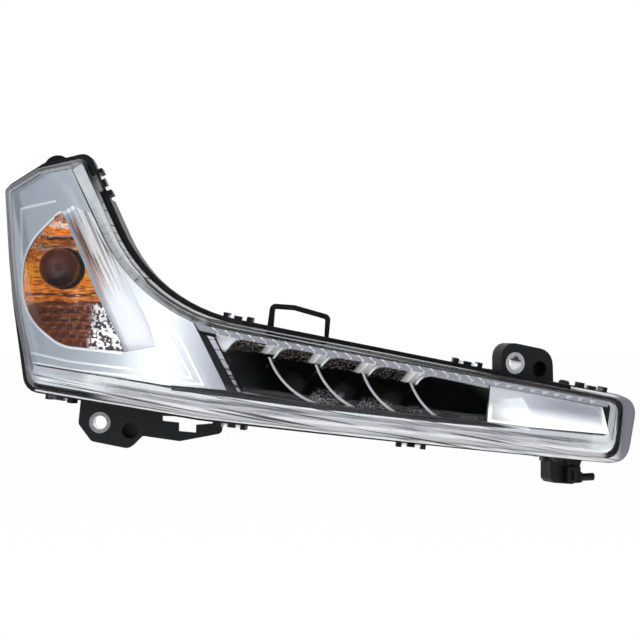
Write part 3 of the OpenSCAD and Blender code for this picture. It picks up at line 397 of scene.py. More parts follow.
def make_floor(scene, settings):
    """A pale floor that keeps a soft shadow and fades into the background."""
    low = CAD_BOX[0]
    mesh = bpy.data.meshes.new("Floor")
    shape = bmesh.new()
    bmesh.ops.create_grid(shape, x_segments=1, y_segments=1, size=6.0)
    place = Matrix.Translation((0, 6.0 - FLOOR_FRONT, low.z - settings.floor_gap))
    bmesh.ops.transform(shape, matrix=place, verts=shape.verts)
    shape.to_mesh(mesh)
    shape.free()
    floor = bpy.data.objects.new("Floor", mesh)
    scene.collection.objects.link(floor)
    material, tree, shader, _ = new_material(
        "Paper floor", **{"Base Color": rgba("#F7F7F7"), "Roughness": 0.9}
    )
    path = add_node(tree, "LightPath").outputs
    white = add_node(tree, "Emission", {"Color": rgba("#FFFFFF"), "Strength": 1.0})
    share = math_node(tree, "MULTIPLY", path["Is Camera Ray"], 0.97)
    mix = add_node(tree, "MixShader", {0: share})
    tree.links.new(shader.outputs[0], mix.inputs[1])
    tree.links.new(white.outputs[0], mix.inputs[2])
    output = tree.nodes["Material Output"]
    tree.links.new(mix.outputs[0], output.inputs["Surface"])
    mesh.materials.append(material)


def make_soft_box(scene, name, place, size, power):
    """One soft box that faces the middle of the lamp."""
    light = bpy.data.lights.new(name, "AREA")
    light.shape = "RECTANGLE"
    light.size, light.size_y = size
    light.energy = power
    box = bpy.data.objects.new(name, light)
    middle = (CAD_BOX[0] + CAD_BOX[1]) / 2
    box.location = Vector(place) + middle
    box.rotation_euler = (-Vector(place)).to_track_quat("-Z", "Y").to_euler()
    box.visible_glossy = False
    box.visible_transmission = False
    scene.collection.objects.link(box)


class LAMP_OT_lens(bpy.types.Operator):
    """Clear lens and prism bar"""

    bl_idname = "lamp.lens"
    bl_label = "Lens"

    def execute(self, context):
        look = context.scene.lamp_look
        dress(["outer_lens"], clear_plastic("Polycarbonate, hard-coated", look.lens_tint), 40)
        dress(["prism_bar"], prism_plastic("Acrylic, prismatic"), 20)
        return {"FINISHED"}


def clear_plastic(name, tint):
    """Moulded clear plastic: sharp reflections with a faint flow in them. Lamps shine through. Its walls
    at the left end carry a pale painted sheen, and its legs painted highlight streaks.
    """
    material, tree, shader, place = new_material(
        name,
        **{
            "Base Color": rgba(tint),
            "Roughness": 0.0,
            "IOR": 1.01,
            "Coat Weight": 0.3,
            "Coat Roughness": 0.0,
            "Transmission Weight": 1.0,
        },
    )
    grain(tree, place, shader, 9 * MM, 0.02, 0.15 * MM)
    x, depth, _ = front_view(tree, place)
    # Painted light: walls at the left end that face sideways or up are painted pale, as the sheen they
    # catch.
    sideways = math_node(tree, "ABSOLUTE", facing(tree, (1, 0, 0)))
    wall = mask(tree, math_node(tree, "MAXIMUM", sideways, facing(tree, (0, 0, 1))), 0.3, 0.45)
    painted_wall_sheen = math_node(tree, "MULTIPLY", wall, mask(tree, x, PALE_WALL_END, PALE_WALL_END - 8 * MM))
    front, back = LEG_DEPTHS
    band = math_node(
        tree,
        "MULTIPLY",
        mask(tree, depth, front, front + 0.5 * MM),
        mask(tree, depth, back, back - 0.3 * MM),
    )
    arm = math_node(
        tree,
        "MULTIPLY",
        mask(tree, x, PALE_WALL_END, PALE_WALL_END + 20 * MM),
        mask(tree, x, 184 * MM, 178 * MM),
    )
    leg = math_node(tree, "MULTIPLY", band, arm)
    pale = blend_colours(tree, painted_wall_sheen, rgba(tint), rgba("#D9DCE1"))
    # Painted highlights: the legs are painted with bright streaks.
    tone = blend_colours(tree, leg, pale, row_streaks(tree, place, rgba("#E8E8EA")))
    tree.links.new(tone, shader.inputs["Base Color"])
    # Less light passes through where the sheen and the streaks are painted.
    painted_light_share = math_node(tree, "MAXIMUM", painted_wall_sheen, math_node(tree, "MULTIPLY", leg, 3.0))
    share = math_node(tree, "MULTIPLY_ADD", painted_light_share, -0.14, 1.0)
    tree.links.new(share, shader.inputs["Transmission Weight"])
    path = add_node(tree, "LightPath").outputs
    clear = add_node(tree, "BsdfTransparent", {"Color": rgba("#FCFCFC")})
    mix = mix_shaders(tree, path["Is Shadow Ray"], shader, clear)
    tree.links.new(mix.outputs[0], tree.nodes["Material Output"].inputs["Surface"])
    return material


def prism_plastic(name):
    """Clear acrylic whose cut prisms turn the light round, so that it reads as pale grey. Its groove
    floors are painted white as highlights.
    """
    material, tree, shader, place = new_material(
        name,
        **{
            "Roughness": 0.12,
            "IOR": 1.49,
            "Transmission Weight": 0.15,
        },
    )
    depth = front_view(tree, place)[1]
    # Painted highlights: the floors of the prisms' grooves are painted white.
    groove = mask(tree, depth, PRISM_FRONT + 0.9 * MM, PRISM_FRONT + 1.5 * MM)
    behind = mask(tree, depth, PRISM_FRONT + 2.2 * MM, PRISM_FRONT + 2.6 * MM)
    line = math_node(tree, "SUBTRACT", groove, behind)
    tone = blend_colours(tree, line, rgba("#85868E"), rgba("#FFFFFF"))
    tree.links.new(tone, shader.inputs["Base Color"])
    grain(tree, place, shader, 3 * MM, 0.05, 0.05 * MM)
    return material


class LAMP_OT_skirt(bpy.types.Operator):
    """Clear skirt that the lens has over the housing's lip"""

    bl_idname = "lamp.skirt"
    bl_label = "Lens skirt"

    def execute(self, context):
        piece = make_skirt("lens_skirt")
        piece.data.materials.append(skirt_plastic("Polycarbonate, over the lip"))
        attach(piece, "root")
        return {"FINISHED"}


# Corners of the skirt's inner and outer edge in front view, in millimetres, each with its radius
SKIRT_INNER = ((-186, -45, 0), (-77, -61.6, 60), (190.8, -89.3, 10), (194.8, -51, 9), (160, -44.3, 0))
SKIRT_OUTER = ((-186, -46.4, 0), (-77, -62.9, 60), (196.6, -92.5, 13), (204, -50.6, 13), (160, -42.4, 0))
SKIRT_DEPTH = 21.4 * MM
SKIRT_THICK = 1.0 * MM
SKIRT_CROWN = 0.6 * MM
SKIRT_STEP = 9.0


def make_skirt(name):
    """A crowned ribbon between two rounded outlines, bent to the swept front."""
    stations = []
    for inner, outer in zip(rounded(SKIRT_INNER), rounded(SKIRT_OUTER)):
        if stations:
            before = stations[-1]
            count = math.ceil((outer - before[1]).length / SKIRT_STEP)
            for step in range(1, count):
                share = step / count
                stations.append((before[0].lerp(inner, share), before[1].lerp(outer, share)))
        stations.append((inner, outer))
    shape = bmesh.new()
    last = len(stations) - 1
    bmesh.ops.create_grid(shape, x_segments=last, y_segments=4, size=0.5)
    for vert in shape.verts:
        inner, outer = stations[round((vert.co.x + 0.5) * last)]
        across = vert.co.y + 0.5
        x, z = inner.lerp(outer, across) * MM
        lift = SKIRT_CROWN * 4 * across * (1 - across)
        vert.co = Vector((x, sweep(x) + SKIRT_DEPTH - lift, z)) - FIXING
    bmesh.ops.recalc_face_normals(shape, faces=shape.faces)
    bmesh.ops.solidify(shape, geom=shape.faces[:], thickness=SKIRT_THICK)
    bmesh.ops.recalc_face_normals(shape, faces=shape.faces)
    for face in shape.faces:
        face.smooth = True
    mesh = bpy.data.meshes.new(name)
    shape.to_mesh(mesh)
    shape.free()
    piece = bpy.data.objects.new(name, mesh)
    bpy.context.scene.collection.objects.link(piece)
    return piece


def sweep(x):
    """How far back the swept front lies at a place across, in front view."""
    return SWEEP_RADIUS - math.sqrt(SWEEP_RADIUS**2 - (x - SWEEP_X - FIXING.x) ** 2)


def rounded(corners, steps=8):
    """The points of an open outline whose corners are rounded, in millimetres."""
    points = [Vector(corners[0][:2])]
    for before, corner, after in zip(corners, corners[1:], corners[2:]):
        here = Vector(corner[:2])
        back = (Vector(before[:2]) - here).normalized()
        onward = (Vector(after[:2]) - here).normalized()
        reach = corner[2] / math.tan(back.angle(onward) / 2)
        start, end = here + back * reach, here + onward * reach
        for step in range(steps + 1):
            share = step / steps
            points.append(start.lerp(here, share).lerp(here.lerp(end, share), share))
    points.append(Vector(corners[-1][:2]))
    return points


def skirt_plastic(name):
    """Clear plastic over the black lip: painted highlight streaks along it, and a painted lilac-grey
    sheen round the arm's end.
    """
    material, tree, shader, place = new_material(
        name, **{"Roughness": 0.08, "IOR": 1.45, "Transmission Weight": 0.35}
    )
    x = front_view(tree, place)[0]
    # Painted sheen: lilac-grey round the arm's end, over painted highlight streaks.
    end = mask(tree, x, 186 * MM, 194 * MM)
    streaks = row_streaks(tree, place, rgba("#E4E4E6"))
    tone = blend_colours(tree, end, streaks, rgba("#77747E"))
    tree.links.new(tone, shader.inputs["Base Color"])
    grain(tree, place, shader, 6 * MM, 0.05, 0.1 * MM)
    return material


class LAMP_OT_housing(bpy.types.Operator):
    """Black housing, brackets, loop and peg"""

    bl_idname = "lamp.housing"
    bl_label = "Housing and brackets"

    def execute(self, context):
        look = context.scene.lamp_look
        dress(
            ["housing", "retaining_loop", "locating_peg", "vent_cap"],
            moulded_plastic("ABS, moulded", "#050506", look.grain_size, 0.42),
        )
        dress(
            ["upper_fixing_lug", "lower_fixing_bracket", "locating_bracket"],
            moulded_plastic("Nylon, glass-filled", "#0A0B0C", look.grain_size * 1.6, 0.46),
        )
        dress(
            ["bulb_holder", "row_connector"],
            moulded_plastic("Polyester, moulded", "#202123", look.grain_size, 0.48),
        )
        dress(["rubber_buffer"], moulded_plastic("Rubber, moulded", "#0B0B0B", look.grain_size, 0.7))
        dress(["sealing_bead"], moulded_plastic("Sealing compound", "#0A0A0A", 3 * MM, 0.55))
        return {"FINISHED"}


def moulded_plastic(name, colour, size, roughness):
    """Black moulded plastic: a fine matt grain, with shinier and duller patches."""
    material, tree, shader, place = new_material(
        name,
        **{
            "Base Color": rgba(colour),
            "IOR": 1.5,
            "Roughness": roughness,
            "Specular IOR Level": 0.22,
        },
    )
    fine = grain(tree, place, shader, size, 0.35, 0.08 * MM, 0.08, roughness)
    pale = [min(1.0, part * 1.5 + 0.001) for part in linear(colour)]
    tone = blend_colours(tree, fine, rgba(colour), rgba(pale))
    tree.links.new(tone, shader.inputs["Base Color"])
    return material


class LAMP_OT_indicator(bpy.types.Operator):
    """Bezel, reflector, bulb and holder parts of the indicator"""

    bl_idname = "lamp.indicator"
    bl_label = "Indicator"

    def execute(self, context):
        look = context.scene.lamp_look
        silver = satin_silver("ABS, satin metallised", look.silver)
        dress(["indicator_bezel"], silver, 24)
        dress(["end_trim"], pocket_silver("ABS, satin metallised, end", look.silver), 24)
        dress(["indicator_reflector"], bulb_lit_chrome("Reflector, metallised"), 20)
        dress(["bulb_glass"], amber_glass("Glass, amber-dipped"))
        dress(["bulb_base", "bulb_contacts", "row_connector_pins"], brass("Brass, nickel-washed"))
        dress(["bulb_filament"], clear_plastic("Glass stem", linear("#F2F4F5")))
        dress(["bulb_holder_seal"], moulded_plastic("Silicone rubber", "#8C2415", 0.5 * MM, 0.6))
        return {"FINISHED"}


def satin_silver(name, colour):
    """Metallised plastic under satin lacquer. Its raised beads are painted white as highlights."""
    material, tree, shader, place = new_material(name, **{"Roughness": 0.18})
    cloud = add_node(tree, "TexNoise", {"Vector": place, "Scale": 1 / (35 * MM), "Detail": 2.0})
    dark = [part * 0.86 for part in colour]
    tone = blend_colours(tree, cloud.outputs["Fac"], rgba(dark), rgba(colour))
    depth = front_view(tree, place)[1]
    # Painted highlights: the raised beads are painted white.
    raised = mask(tree, depth, TRIM_DEPTH - 0.15 * MM, TRIM_DEPTH - 0.3 * MM)
    beads_highlighted = blend_colours(tree, raised, tone, rgba("#FFFFFF"))
    # The cove gets painted reflections, and its lower end painted light that is less metallic.
    streaked, pale = cove_streaks(tree, place, beads_highlighted)
    tree.links.new(streaked, shader.inputs["Base Color"])
    tree.links.new(math_node(tree, "MULTIPLY_ADD", pale, -0.55, 1.0), shader.inputs["Metallic"])
    grain(tree, place, shader, 0.9 * MM, 0.04, 0.05 * MM)
    return material


def cove_streaks(tree, place, tone):
    """Draws what the cove mirrors: streaks along it, brown near the bulb and pale at its lower end.

    Also returns the share of the pale end.
    """
    x, depth, z = front_view(tree, place)
    right = math_node(tree, "SUBTRACT", x, COVE_TOP.x)
    up = math_node(tree, "SUBTRACT", z, COVE_TOP.z)
    along = COVE_DIRECTION
    down_cove = math_node(
        tree, "MULTIPLY_ADD", right, along.x, math_node(tree, "MULTIPLY", up, along.z)
    )
    across = math_node(
        tree, "MULTIPLY_ADD", right, -along.z, math_node(tree, "MULTIPLY", up, along.x)
    )
    stretched = add_node(
        tree,
        "CombineXYZ",
        {
            "X": math_node(tree, "DIVIDE", across, 1.6 * MM),
            "Z": math_node(tree, "DIVIDE", down_cove, 45 * MM),
        },
    )
    lines = add_node(
        tree, "TexNoise", {"Vector": stretched.outputs["Vector"], "Scale": 1.0, "Detail": 3.0}
    )
    line = mask(tree, lines.outputs["Fac"], 0.44, 0.6)
    turned = mask(tree, facing(tree, (-0.25, -1, 0)), 0.998, 0.985)
    beside = math_node(
        tree,
        "MULTIPLY",
        mask(tree, across, -0.5 * MM, 0.5 * MM),
        mask(tree, across, 44 * MM, 40 * MM),
    )
    inside = math_node(tree, "MULTIPLY", turned, beside)
    end = math_node(tree, "MULTIPLY", inside, mask(tree, down_cove, 34 * MM, 74 * MM))
    near = math_node(
        tree,
        "MULTIPLY",
        mask(tree, across, 17 * MM, 3 * MM),
        math_node(
            tree,
            "MULTIPLY",
            mask(tree, down_cove, 72 * MM, 50 * MM),
            mask(tree, down_cove, 2 * MM, 10 * MM),
        ),
    )
    edge = mask(tree, across, 7 * MM, 1 * MM)
    pale = blend_colours(tree, edge, rgba("#F1E7E0"), rgba("#E08A3C"))
    mirrored = blend_colours(tree, line, pale, rgba("#7A3414"))
    plain = blend_colours(tree, line, rgba("#FFFFFF"), rgba("#BDBCC6"))
    streaks = blend_colours(tree, near, plain, mirrored)
    lit = blend_colours(tree, end, streaks, rgba("#ECECF1"))
    return blend_colours(tree, inside, tone, lit), end


def pocket_silver(name, colour):
    """Metallised plastic of the end pocket, painted white as light along its bottom and its right end,
    and a little at its left.
    """
    material, tree, shader, place = new_material(name, **{"Roughness": 0.22})
    x, depth, z = front_view(tree, place)
    over_row = math_node(tree, "MULTIPLY_ADD", x, SLOPE_DOWN, z)
    # Painted light: white along the bottom, at the right end and a little at the left.
    left = math_node(tree, "MULTIPLY", mask(tree, x, POCKET_START + 48 * MM, POCKET_START), 0.4)
    low = mask(tree, over_row, -27 * MM, -38 * MM)
    right = mask(tree, x, 176 * MM, 180 * MM)
    painted_glow = math_node(tree, "MAXIMUM", math_node(tree, "MAXIMUM", low, right), left)
    # Painted highlights: the raised beads are painted white.
    raised = mask(tree, depth, TRIM_DEPTH - 0.15 * MM, TRIM_DEPTH - 0.3 * MM)
    white = math_node(tree, "MAXIMUM", painted_glow, raised)
    tone = blend_colours(tree, white, rgba(colour), rgba("#FFFFFF"))
    tree.links.new(tone, shader.inputs["Base Color"])
    tree.links.new(math_node(tree, "MULTIPLY_ADD", painted_glow, -0.75, 1.0), shader.inputs["Metallic"])
    grain(tree, place, shader, 0.9 * MM, 0.04, 0.05 * MM)
    return material


# What the reflector's flutes and bricks show of the bulb, from the bottom up: the height above
# the bulb's axis in millimetres, and the tone there
FLUTE_TONES = (
    (-40, "#6A2E1C"),
    (-22.5, "#7C3822"),
    (-21.5, "#F08A1E"),
    (-18.6, "#E0781A"),
    (-18.2, "#6E3414"),
    (-16.6, "#6E3414"),
    (-16.2, "#FF9A22"),
    (-8, "#FF941E"),
    (-7, "#FFAE2E"),
    (2.5, "#FFA624"),
    (3.5, "#C4641E"),
    (12, "#C4641E"),
    (13, "#B8A69A"),
    (15.4, "#A67A58"),
    (16, "#8C4418"),
    (18.6, "#E0781E"),
    (19.2, "#2C2A30"),
    (20.3, "#2C2A30"),
    (21.2, "#A8A4AA"),
    (22.4, "#FF9420"),
    (26, "#FF9420"),
    (26.6, "#FFFFFF"),
    (29.4, "#F6ECE0"),
    (30, "#A8541C"),
    (32.6, "#8C461C"),
    (33.2, "#7C4022"),
    (36, "#8C5A3A"),
    (37, "#D9D4D0"),
    (46, "#FFFFFF"),
)


def bulb_lit_chrome(name):
    """Bright metallised reflector with painted reflections of the amber bulb in its flutes and its
    bricks.

    Its tones also glow a little, as painted light.
    """
    material, tree, shader, place = new_material(
        name, **{"Metallic": 0.15, "Roughness": 0.16, "Emission Strength": 0.28}
    )
    axes = add_node(tree, "SeparateXYZ", {"Vector": place}).outputs
    across = math_node(tree, "DIVIDE", math_node(tree, "SUBTRACT", axes["X"], BULB.x), MM)
    above = math_node(tree, "DIVIDE", math_node(tree, "SUBTRACT", axes["Z"], BULB.z), MM)
    wobble = add_node(tree, "TexNoise", {"Vector": place, "Scale": 1 / (9 * MM), "Detail": 3.0})
    shift = math_node(tree, "MULTIPLY_ADD", wobble.outputs["Fac"], 4.0, -2.0)
    tones = colour_ramp(tree, math_node(tree, "ADD", above, shift), FLUTE_TONES)
    long = add_node(tree, "Mapping", {"Vector": place, "Scale": (0.22, 0.22, 1)})
    dashes = add_node(
        tree, "TexNoise", {"Vector": long.outputs[0], "Scale": 1 / (1.3 * MM), "Detail": 2.0}
    ).outputs["Fac"]
    # Painted shade and highlights: dark and bright dashes along the flutes.
    dark = math_node(tree, "MULTIPLY", mask(tree, dashes, 0.5, 0.38), 0.6)
    bright = math_node(tree, "MULTIPLY", mask(tree, dashes, 0.56, 0.68), 0.8)
    shaded = blend_colours(tree, dark, tones, rgba("#3C180A"))
    dashed = blend_colours(tree, bright, shaded, rgba("#FFC766"))
    low = mask(tree, above, -21, -25)
    # Painted light and shade on the bricks: faces turned down and forward are painted orange, the rest
    # dark.
    lit_side = mask(tree, facing(tree, (0.35, -0.35, -1)), 0.28, 0.5)
    brick_light_and_shade = blend_colours(tree, lit_side, rgba("#4C2014"), rgba("#8E451E"))
    brick = math_node(tree, "MULTIPLY", low, 0.75)
    bulb_side = blend_colours(tree, brick, dashed, brick_light_and_shade)
    # Painted reflections: white and dark chrome patches where the bulb isn't shown.
    reflection_noise = add_node(tree, "TexNoise", {"Vector": place, "Scale": 1 / (2.4 * MM), "Detail": 1.0})
    reflected_white = mask(tree, reflection_noise.outputs["Fac"], 0.47, 0.53)
    chrome = blend_colours(tree, reflected_white, rgba("#4A3A3E"), rgba("#FFFFFF"))
    reach = math_node(tree, "ADD", across, math_node(tree, "MULTIPLY", shift, 2.0))
    bare = math_node(tree, "MULTIPLY", mask(tree, reach, 19, 24), mask(tree, above, -22, -26))
    tone = blend_colours(tree, bare, bulb_side, chrome)
    tree.links.new(tone, shader.inputs["Base Color"])
    # Painted light: the tones also glow through the emission.
    tree.links.new(tone, shader.inputs["Emission Color"])
    grain(tree, place, shader, 1.2 * MM, 0.05, 0.05 * MM)
    return material


def amber_glass(name):
    """Blown glass with a deep amber dip: glossy and nearly brown-black in its middle, with painted shade
    darker towards the bottom and lighter towards the top.
    """
    material, tree, shader, place = new_material(
        name,
        **{
            "Roughness": 0.05,
            "IOR": 1.5,
            "Specular IOR Level": 0.3,
            "Transmission Weight": 0.1,
        },
    )
    axes = add_node(tree, "SeparateXYZ", {"Vector": place}).outputs
    # Painted shade: darker towards the bottom, lighter towards the top.
    height = mask(tree, axes["Z"], BULB.z - 12 * MM, BULB.z + 8 * MM)
    tone = blend_colours(tree, height, rgba("#140B0A"), rgba("#4A2018"))
    tree.links.new(tone, shader.inputs["Base Color"])
    return material


def brass(name):
    """Drawn brass with a thin nickel wash and faint draw marks."""
    material, tree, shader, place = new_material(
        name, **{"Base Color": rgba("#C9B98A"), "Metallic": 1.0, "Roughness": 0.28}
    )
    marks = add_node(tree, "Mapping", {"Vector": place, "Scale": (1, 0.05, 1)})
    grain(tree, marks.outputs["Vector"], shader, 0.4 * MM, 0.2, 0.02 * MM)
    return material


class LAMP_OT_row(bpy.types.Operator):
    """Light row: bowls, board, LEDs and heat sink"""

    bl_idname = "lamp.row"
    bl_label = "Light row"

    def execute(self, context):
        look = context.scene.lamp_look
        dress(["light_row_reflector"], smoked_chrome("Bowls, smoked chrome", look.smoked), 18)
        dress(["led_board"], moulded_plastic("Board, white mask", "#C9CCC6", 0.8 * MM, 0.4))
        dress(["leds"], moulded_plastic("LED resin", "#E8C545", 0.3 * MM, 0.25))
        dress(["led_heat_sink"], sheet_aluminium("Aluminium, pressed"))
        return {"FINISHED"}


def smoked_chrome(name, colour):
    """Near-black chrome in the bowls, with painted highlights on the fins' front edges, painted light
    and shade on the fluted hoods, and painted glints on the hoods and at the bowls' feet.
    """
    material, tree, shader, place = new_material(name, **{"Roughness": 0.12})
    x, depth, z = front_view(tree, place)
    lift = above_hoods(tree, place)
    hood = mask(tree, lift, -0.2 * MM, 0.3 * MM)
    slanted = math_node(tree, "MULTIPLY_ADD", z, -HOOD_SLANT, x)
    turns = math_node(tree, "DIVIDE", math_node(tree, "SUBTRACT", slanted, HOOD_START), HOOD_PITCH)
    share = math_node(tree, "FRACT", turns)
    # Painted light: a lit patch on the fluted hoods of the first cells.
    lit = math_node(tree, "MULTIPLY", mask(tree, share, 0.6, 0.7), mask(tree, share, 1.0, 0.96))
    near = mask(tree, depth, ROW_DEPTH + 11.5 * MM, ROW_DEPTH + 10 * MM)
    over_row = math_node(tree, "MULTIPLY_ADD", x, SLOPE_DOWN, z)
    high = math_node(tree, "MULTIPLY", near, mask(tree, over_row, -30.5 * MM, -29 * MM))
    cells = math_node(tree, "MULTIPLY", high, mask(tree, turns, 3.05, 2.95))
    patch = math_node(tree, "MULTIPLY", lit, cells)
    # Painted light and shade: flute faces turned to the left are painted grey, the others near white.
    flute_lit_side = mask(tree, facing(tree, (1, 0, 0)), -0.45, -0.1)
    flute_light_and_shade = blend_colours(tree, flute_lit_side, rgba("#9C9A96"), rgba(colour))
    # Painted reflections: grey-brown glints on the dark hoods of the first cells.
    glint_noise = add_node(tree, "TexNoise", {"Vector": place, "Scale": 1 / (1.2 * MM), "Detail": 2.0})
    spread = math_node(tree, "MULTIPLY", near, mask(tree, turns, 3.05, 2.95))
    hood_glints = math_node(tree, "MULTIPLY", mask(tree, glint_noise.outputs["Fac"], 0.5, 0.6), spread)
    shade = blend_colours(tree, hood_glints, rgba("#100F0E"), rgba("#8E867E"))
    ceiling = blend_colours(tree, patch, shade, flute_light_and_shade)
    # Painted highlights: the fins' front edges are painted near white.
    edge = mask(tree, depth, ROW_DEPTH + 0.9 * MM, ROW_DEPTH + 0.2 * MM)
    between = math_node(
        tree, "MULTIPLY", mask(tree, share, 0.1, 0.3), mask(tree, share, 0.85, 0.7)
    )
    # Painted highlights: grey glints at the feet of the bowls.
    cell = math_node(tree, "MULTIPLY", between, mask(tree, turns, 0.95, 1.05))
    foot = math_node(tree, "MULTIPLY", cell, mask(tree, over_row, -42 * MM, -47 * MM))
    foot_glints = math_node(tree, "MULTIPLY", foot, mask(tree, glint_noise.outputs["Fac"], 0.48, 0.56))
    deep = blend_colours(tree, foot_glints, rgba("#060908"), rgba("#A2A4A4"))
    bowl = blend_colours(tree, hood, deep, ceiling)
    tone = blend_colours(tree, edge, bowl, rgba("#E4E5E8"))
    tree.links.new(tone, shader.inputs["Base Color"])
    plated = math_node(tree, "MULTIPLY_ADD", math_node(tree, "MULTIPLY", patch, hood), -0.6, 0.6)
    tree.links.new(plated, shader.inputs["Metallic"])
    grain(tree, place, shader, 2.5 * MM, 0.04, 0.05 * MM)
    return material


def above_hoods(tree, place):
    """Height over the flat plane in which the hoods' tunnels end, in metres."""
    back = add_node(tree, "VectorMath", {0: place, 1: HOOD_POINT}, operation="SUBTRACT")
    lift = add_node(tree, "VectorMath", {0: back.outputs[0], 1: HOOD_UP}, operation="DOT_PRODUCT")
    return lift.outputs["Value"]


def sheet_aluminium(name):
    """Pressed sheet with fine rolling marks."""
    material, tree, shader, place = new_material(
        name, **{"Base Color": rgba("#C6C8CA"), "Metallic": 1.0, "Roughness": 0.35}
    )
    marks = add_node(tree, "Mapping", {"Vector": place, "Scale": (0.03, 1, 1)})
    grain(tree, marks.outputs["Vector"], shader, 0.5 * MM, 0.25, 0.02 * MM)
    return material


class LAMP_OT_trims(bpy.types.Operator):
    """Inner frame, divider, bars and strips"""

    bl_idname = "lamp.trims"
    bl_label = "Trims"

    def execute(self, context):
        dress(["inner_frame"], part_plated("Frame, partly metallised"), 40)
        dress(["divider_strip", "lower_strip"], chrome_plate("Strip, chrome-plated", "#EDEEF0", 0.06))
        dress(["divider_trim", "lower_trim_bar"], piano_black("ABS, high gloss"))
        return {"FINISHED"}


def part_plated(name):
    """Frame of black plastic, metallised only round the indicator and under the light row."""
    material, tree, shader, place = new_material(name, **{"Roughness": 0.14})
    x, _, z = front_view(tree, place)
    over_row = math_node(tree, "MULTIPLY_ADD", x, SLOPE_DOWN, z)
    above = mask(tree, over_row, -38 * MM, -36 * MM)
    before_end = mask(tree, x, 176 * MM, 168 * MM)
    over = math_node(tree, "MULTIPLY", mask(tree, x, -78 * MM, -70 * MM), before_end)
    bare = math_node(tree, "MULTIPLY", above, over)
    low = mask(tree, over_row, -46 * MM, -50 * MM)
    # Painted reflections: streaks along the frame's lower edge.
    plain = blend_colours(tree, low, rgba("#D3D5D8"), row_streaks(tree, place, rgba("#E9EAEC")))
    tone = blend_colours(tree, bare, plain, rgba("#060607"))
    tree.links.new(tone, shader.inputs["Base Color"])
    plated = math_node(tree, "SUBTRACT", 1.0, bare)
    satin = math_node(tree, "MULTIPLY_ADD", before_end, 0.7, 0.3)
    tree.links.new(math_node(tree, "MULTIPLY", plated, satin), shader.inputs["Metallic"])
    grain(tree, place, shader, 6 * MM, 0.02, 0.1 * MM)
    return material


def row_streaks(tree, place, bright):
    """Painted reflections: long fine streaks along the lower edge, as bright pieces there mirror the
    lens's legs.
    """
    x, _, z = front_view(tree, place)
    across = math_node(tree, "DIVIDE", math_node(tree, "MULTIPLY_ADD", x, SLOPE_DOWN, z), 1.5 * MM)
    long = add_node(
        tree, "CombineXYZ", {"X": math_node(tree, "DIVIDE", x, 90 * MM), "Z": across}
    )
    noise = add_node(
        tree, "TexNoise", {"Vector": long.outputs["Vector"], "Scale": 1.0, "Detail": 2.0}
    )
    streak = mask(tree, noise.outputs["Fac"], 0.52, 0.66)
    return blend_colours(tree, streak, bright, rgba("#5C5A60"))


def chrome_plate(name, colour, roughness):
    """Bright plating with a faint unevenness from the plastic under it, and painted reflections streaked
    along it.
    """
    material, tree, shader, place = new_material(name, **{"Metallic": 1.0, "Roughness": roughness})
    tree.links.new(row_streaks(tree, place, rgba(colour)), shader.inputs["Base Color"])
    grain(tree, place, shader, 6 * MM, 0.08, 0.1 * MM)
    return material


def piano_black(name):
    """High-gloss black plastic with a faint flow, painted white where it runs under the end pocket."""
    material, tree, shader, place = new_material(
        name, **{"Roughness": 0.06, "IOR": 1.5, "Specular IOR Level": 0.2}
    )
    # The base colour turns white where the bar runs under the end pocket.
    plated = mask(tree, front_view(tree, place)[0], POCKET_START, POCKET_START + 22 * MM)
    tone = blend_colours(tree, plated, rgba("#020203"), rgba("#F4F3F6"))
    tree.links.new(tone, shader.inputs["Base Color"])
    grain(tree, place, shader, 8 * MM, 0.04, 0.1 * MM)
    return material


class LAMP_OT_fasteners(bpy.types.Operator):
    """Steel bushes and screws"""

    bl_idname = "lamp.fasteners"
    bl_label = "Bushes and screws"

    def execute(self, context):
        dress(["upper_bush"], turned_steel("Steel, turned, upper", "upper_bush", 24))
        dress(["lower_bush"], turned_steel("Steel, turned, lower", "lower_bush", 0))
        dress(["inner_screws"], sheet_aluminium("Steel, zinc-plated"))
        passivated = moulded_plastic("Steel, zinc-plated, black", "#1B1B1D", 0.3 * MM, 0.5)
        dress(["bracket_screws"], passivated)
        return {"FINISHED"}


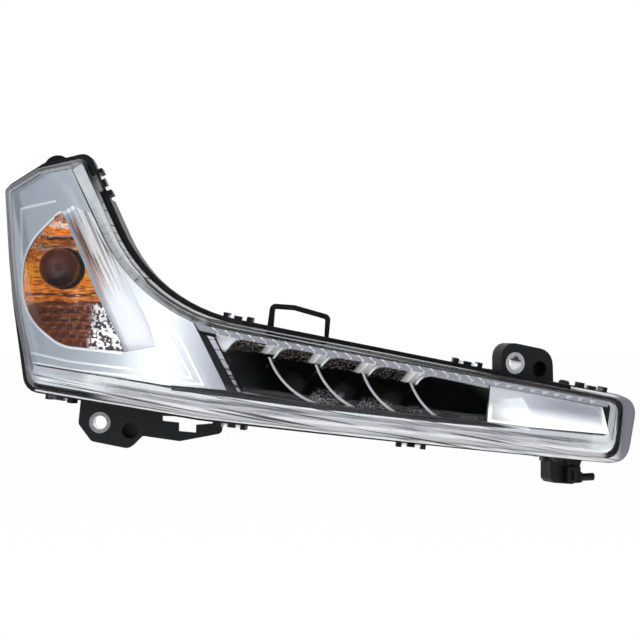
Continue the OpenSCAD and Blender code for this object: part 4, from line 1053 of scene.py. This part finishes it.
def turned_steel(name, node, angle):
    """Turned steel: fine rings round the bush's own axis."""
    material, tree, shader, place = new_material(
        name, **{"Base Color": rgba("#D9DADB"), "Metallic": 1.0, "Roughness": 0.22}
    )
    low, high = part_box(node)
    centre = (low + high) / 2
    back = add_node(tree, "VectorMath", {0: place, 1: -centre}, operation="ADD")
    upright = add_node(
        tree,
        "VectorRotate",
        {"Vector": back.outputs[0], "Angle": math.radians(-angle)},
        rotation_type="Z_AXIS",
    )
    flat = add_node(tree, "VectorMath", {0: upright.outputs[0], 1: (1, 0, 1)}, operation="MULTIPLY")
    radius = add_node(tree, "VectorMath", {0: flat.outputs[0]}, operation="LENGTH")
    rings = math_node(
        tree, "SINE", math_node(tree, "MULTIPLY", radius.outputs["Value"], 2 * math.pi / (0.35 * MM))
    )
    bump = add_node(tree, "Bump", {"Strength": 0.25, "Distance": 0.02 * MM, "Height": rings})
    tree.links.new(bump.outputs["Normal"], shader.inputs["Normal"])
    return material


class LAMP_PT_panel(bpy.types.Panel):
    """Lists the steps that finish the lamp"""

    bl_idname = "LAMP_PT_panel"
    bl_label = "Indicator lamp"
    bl_space_type = "VIEW_3D"
    bl_region_type = "UI"
    bl_category = "Lamp"

    def draw(self, context):
        for step in STEPS:
            self.layout.operator(step.bl_idname)
        for group in (context.scene.lamp_look, context.scene.lamp_stage):
            for name in group.bl_rna.properties.keys():
                if name not in ("name", "rna_type"):
                    self.layout.prop(group, name)


STEPS = (
    LAMP_OT_stage,
    LAMP_OT_lens,
    LAMP_OT_skirt,
    LAMP_OT_housing,
    LAMP_OT_indicator,
    LAMP_OT_row,
    LAMP_OT_trims,
    LAMP_OT_fasteners,
)
CLASSES = (LampLook, LampStage, *STEPS, LAMP_PT_panel)


def register():
    """Adds the classes and their settings."""
    for item in CLASSES:
        bpy.utils.register_class(item)
    bpy.types.Scene.lamp_look = PointerProperty(type=LampLook)
    bpy.types.Scene.lamp_stage = PointerProperty(type=LampStage)


def unregister():
    """Takes them away again."""
    del bpy.types.Scene.lamp_stage
    del bpy.types.Scene.lamp_look
    for item in reversed(CLASSES):
        bpy.utils.unregister_class(item)


def main():
    """Finishes the lamp."""
    register()
    for step in STEPS:
        group, name = step.bl_idname.split(".")
        getattr(getattr(bpy.ops, group), name)()


if __name__ == "__main__":
    main()
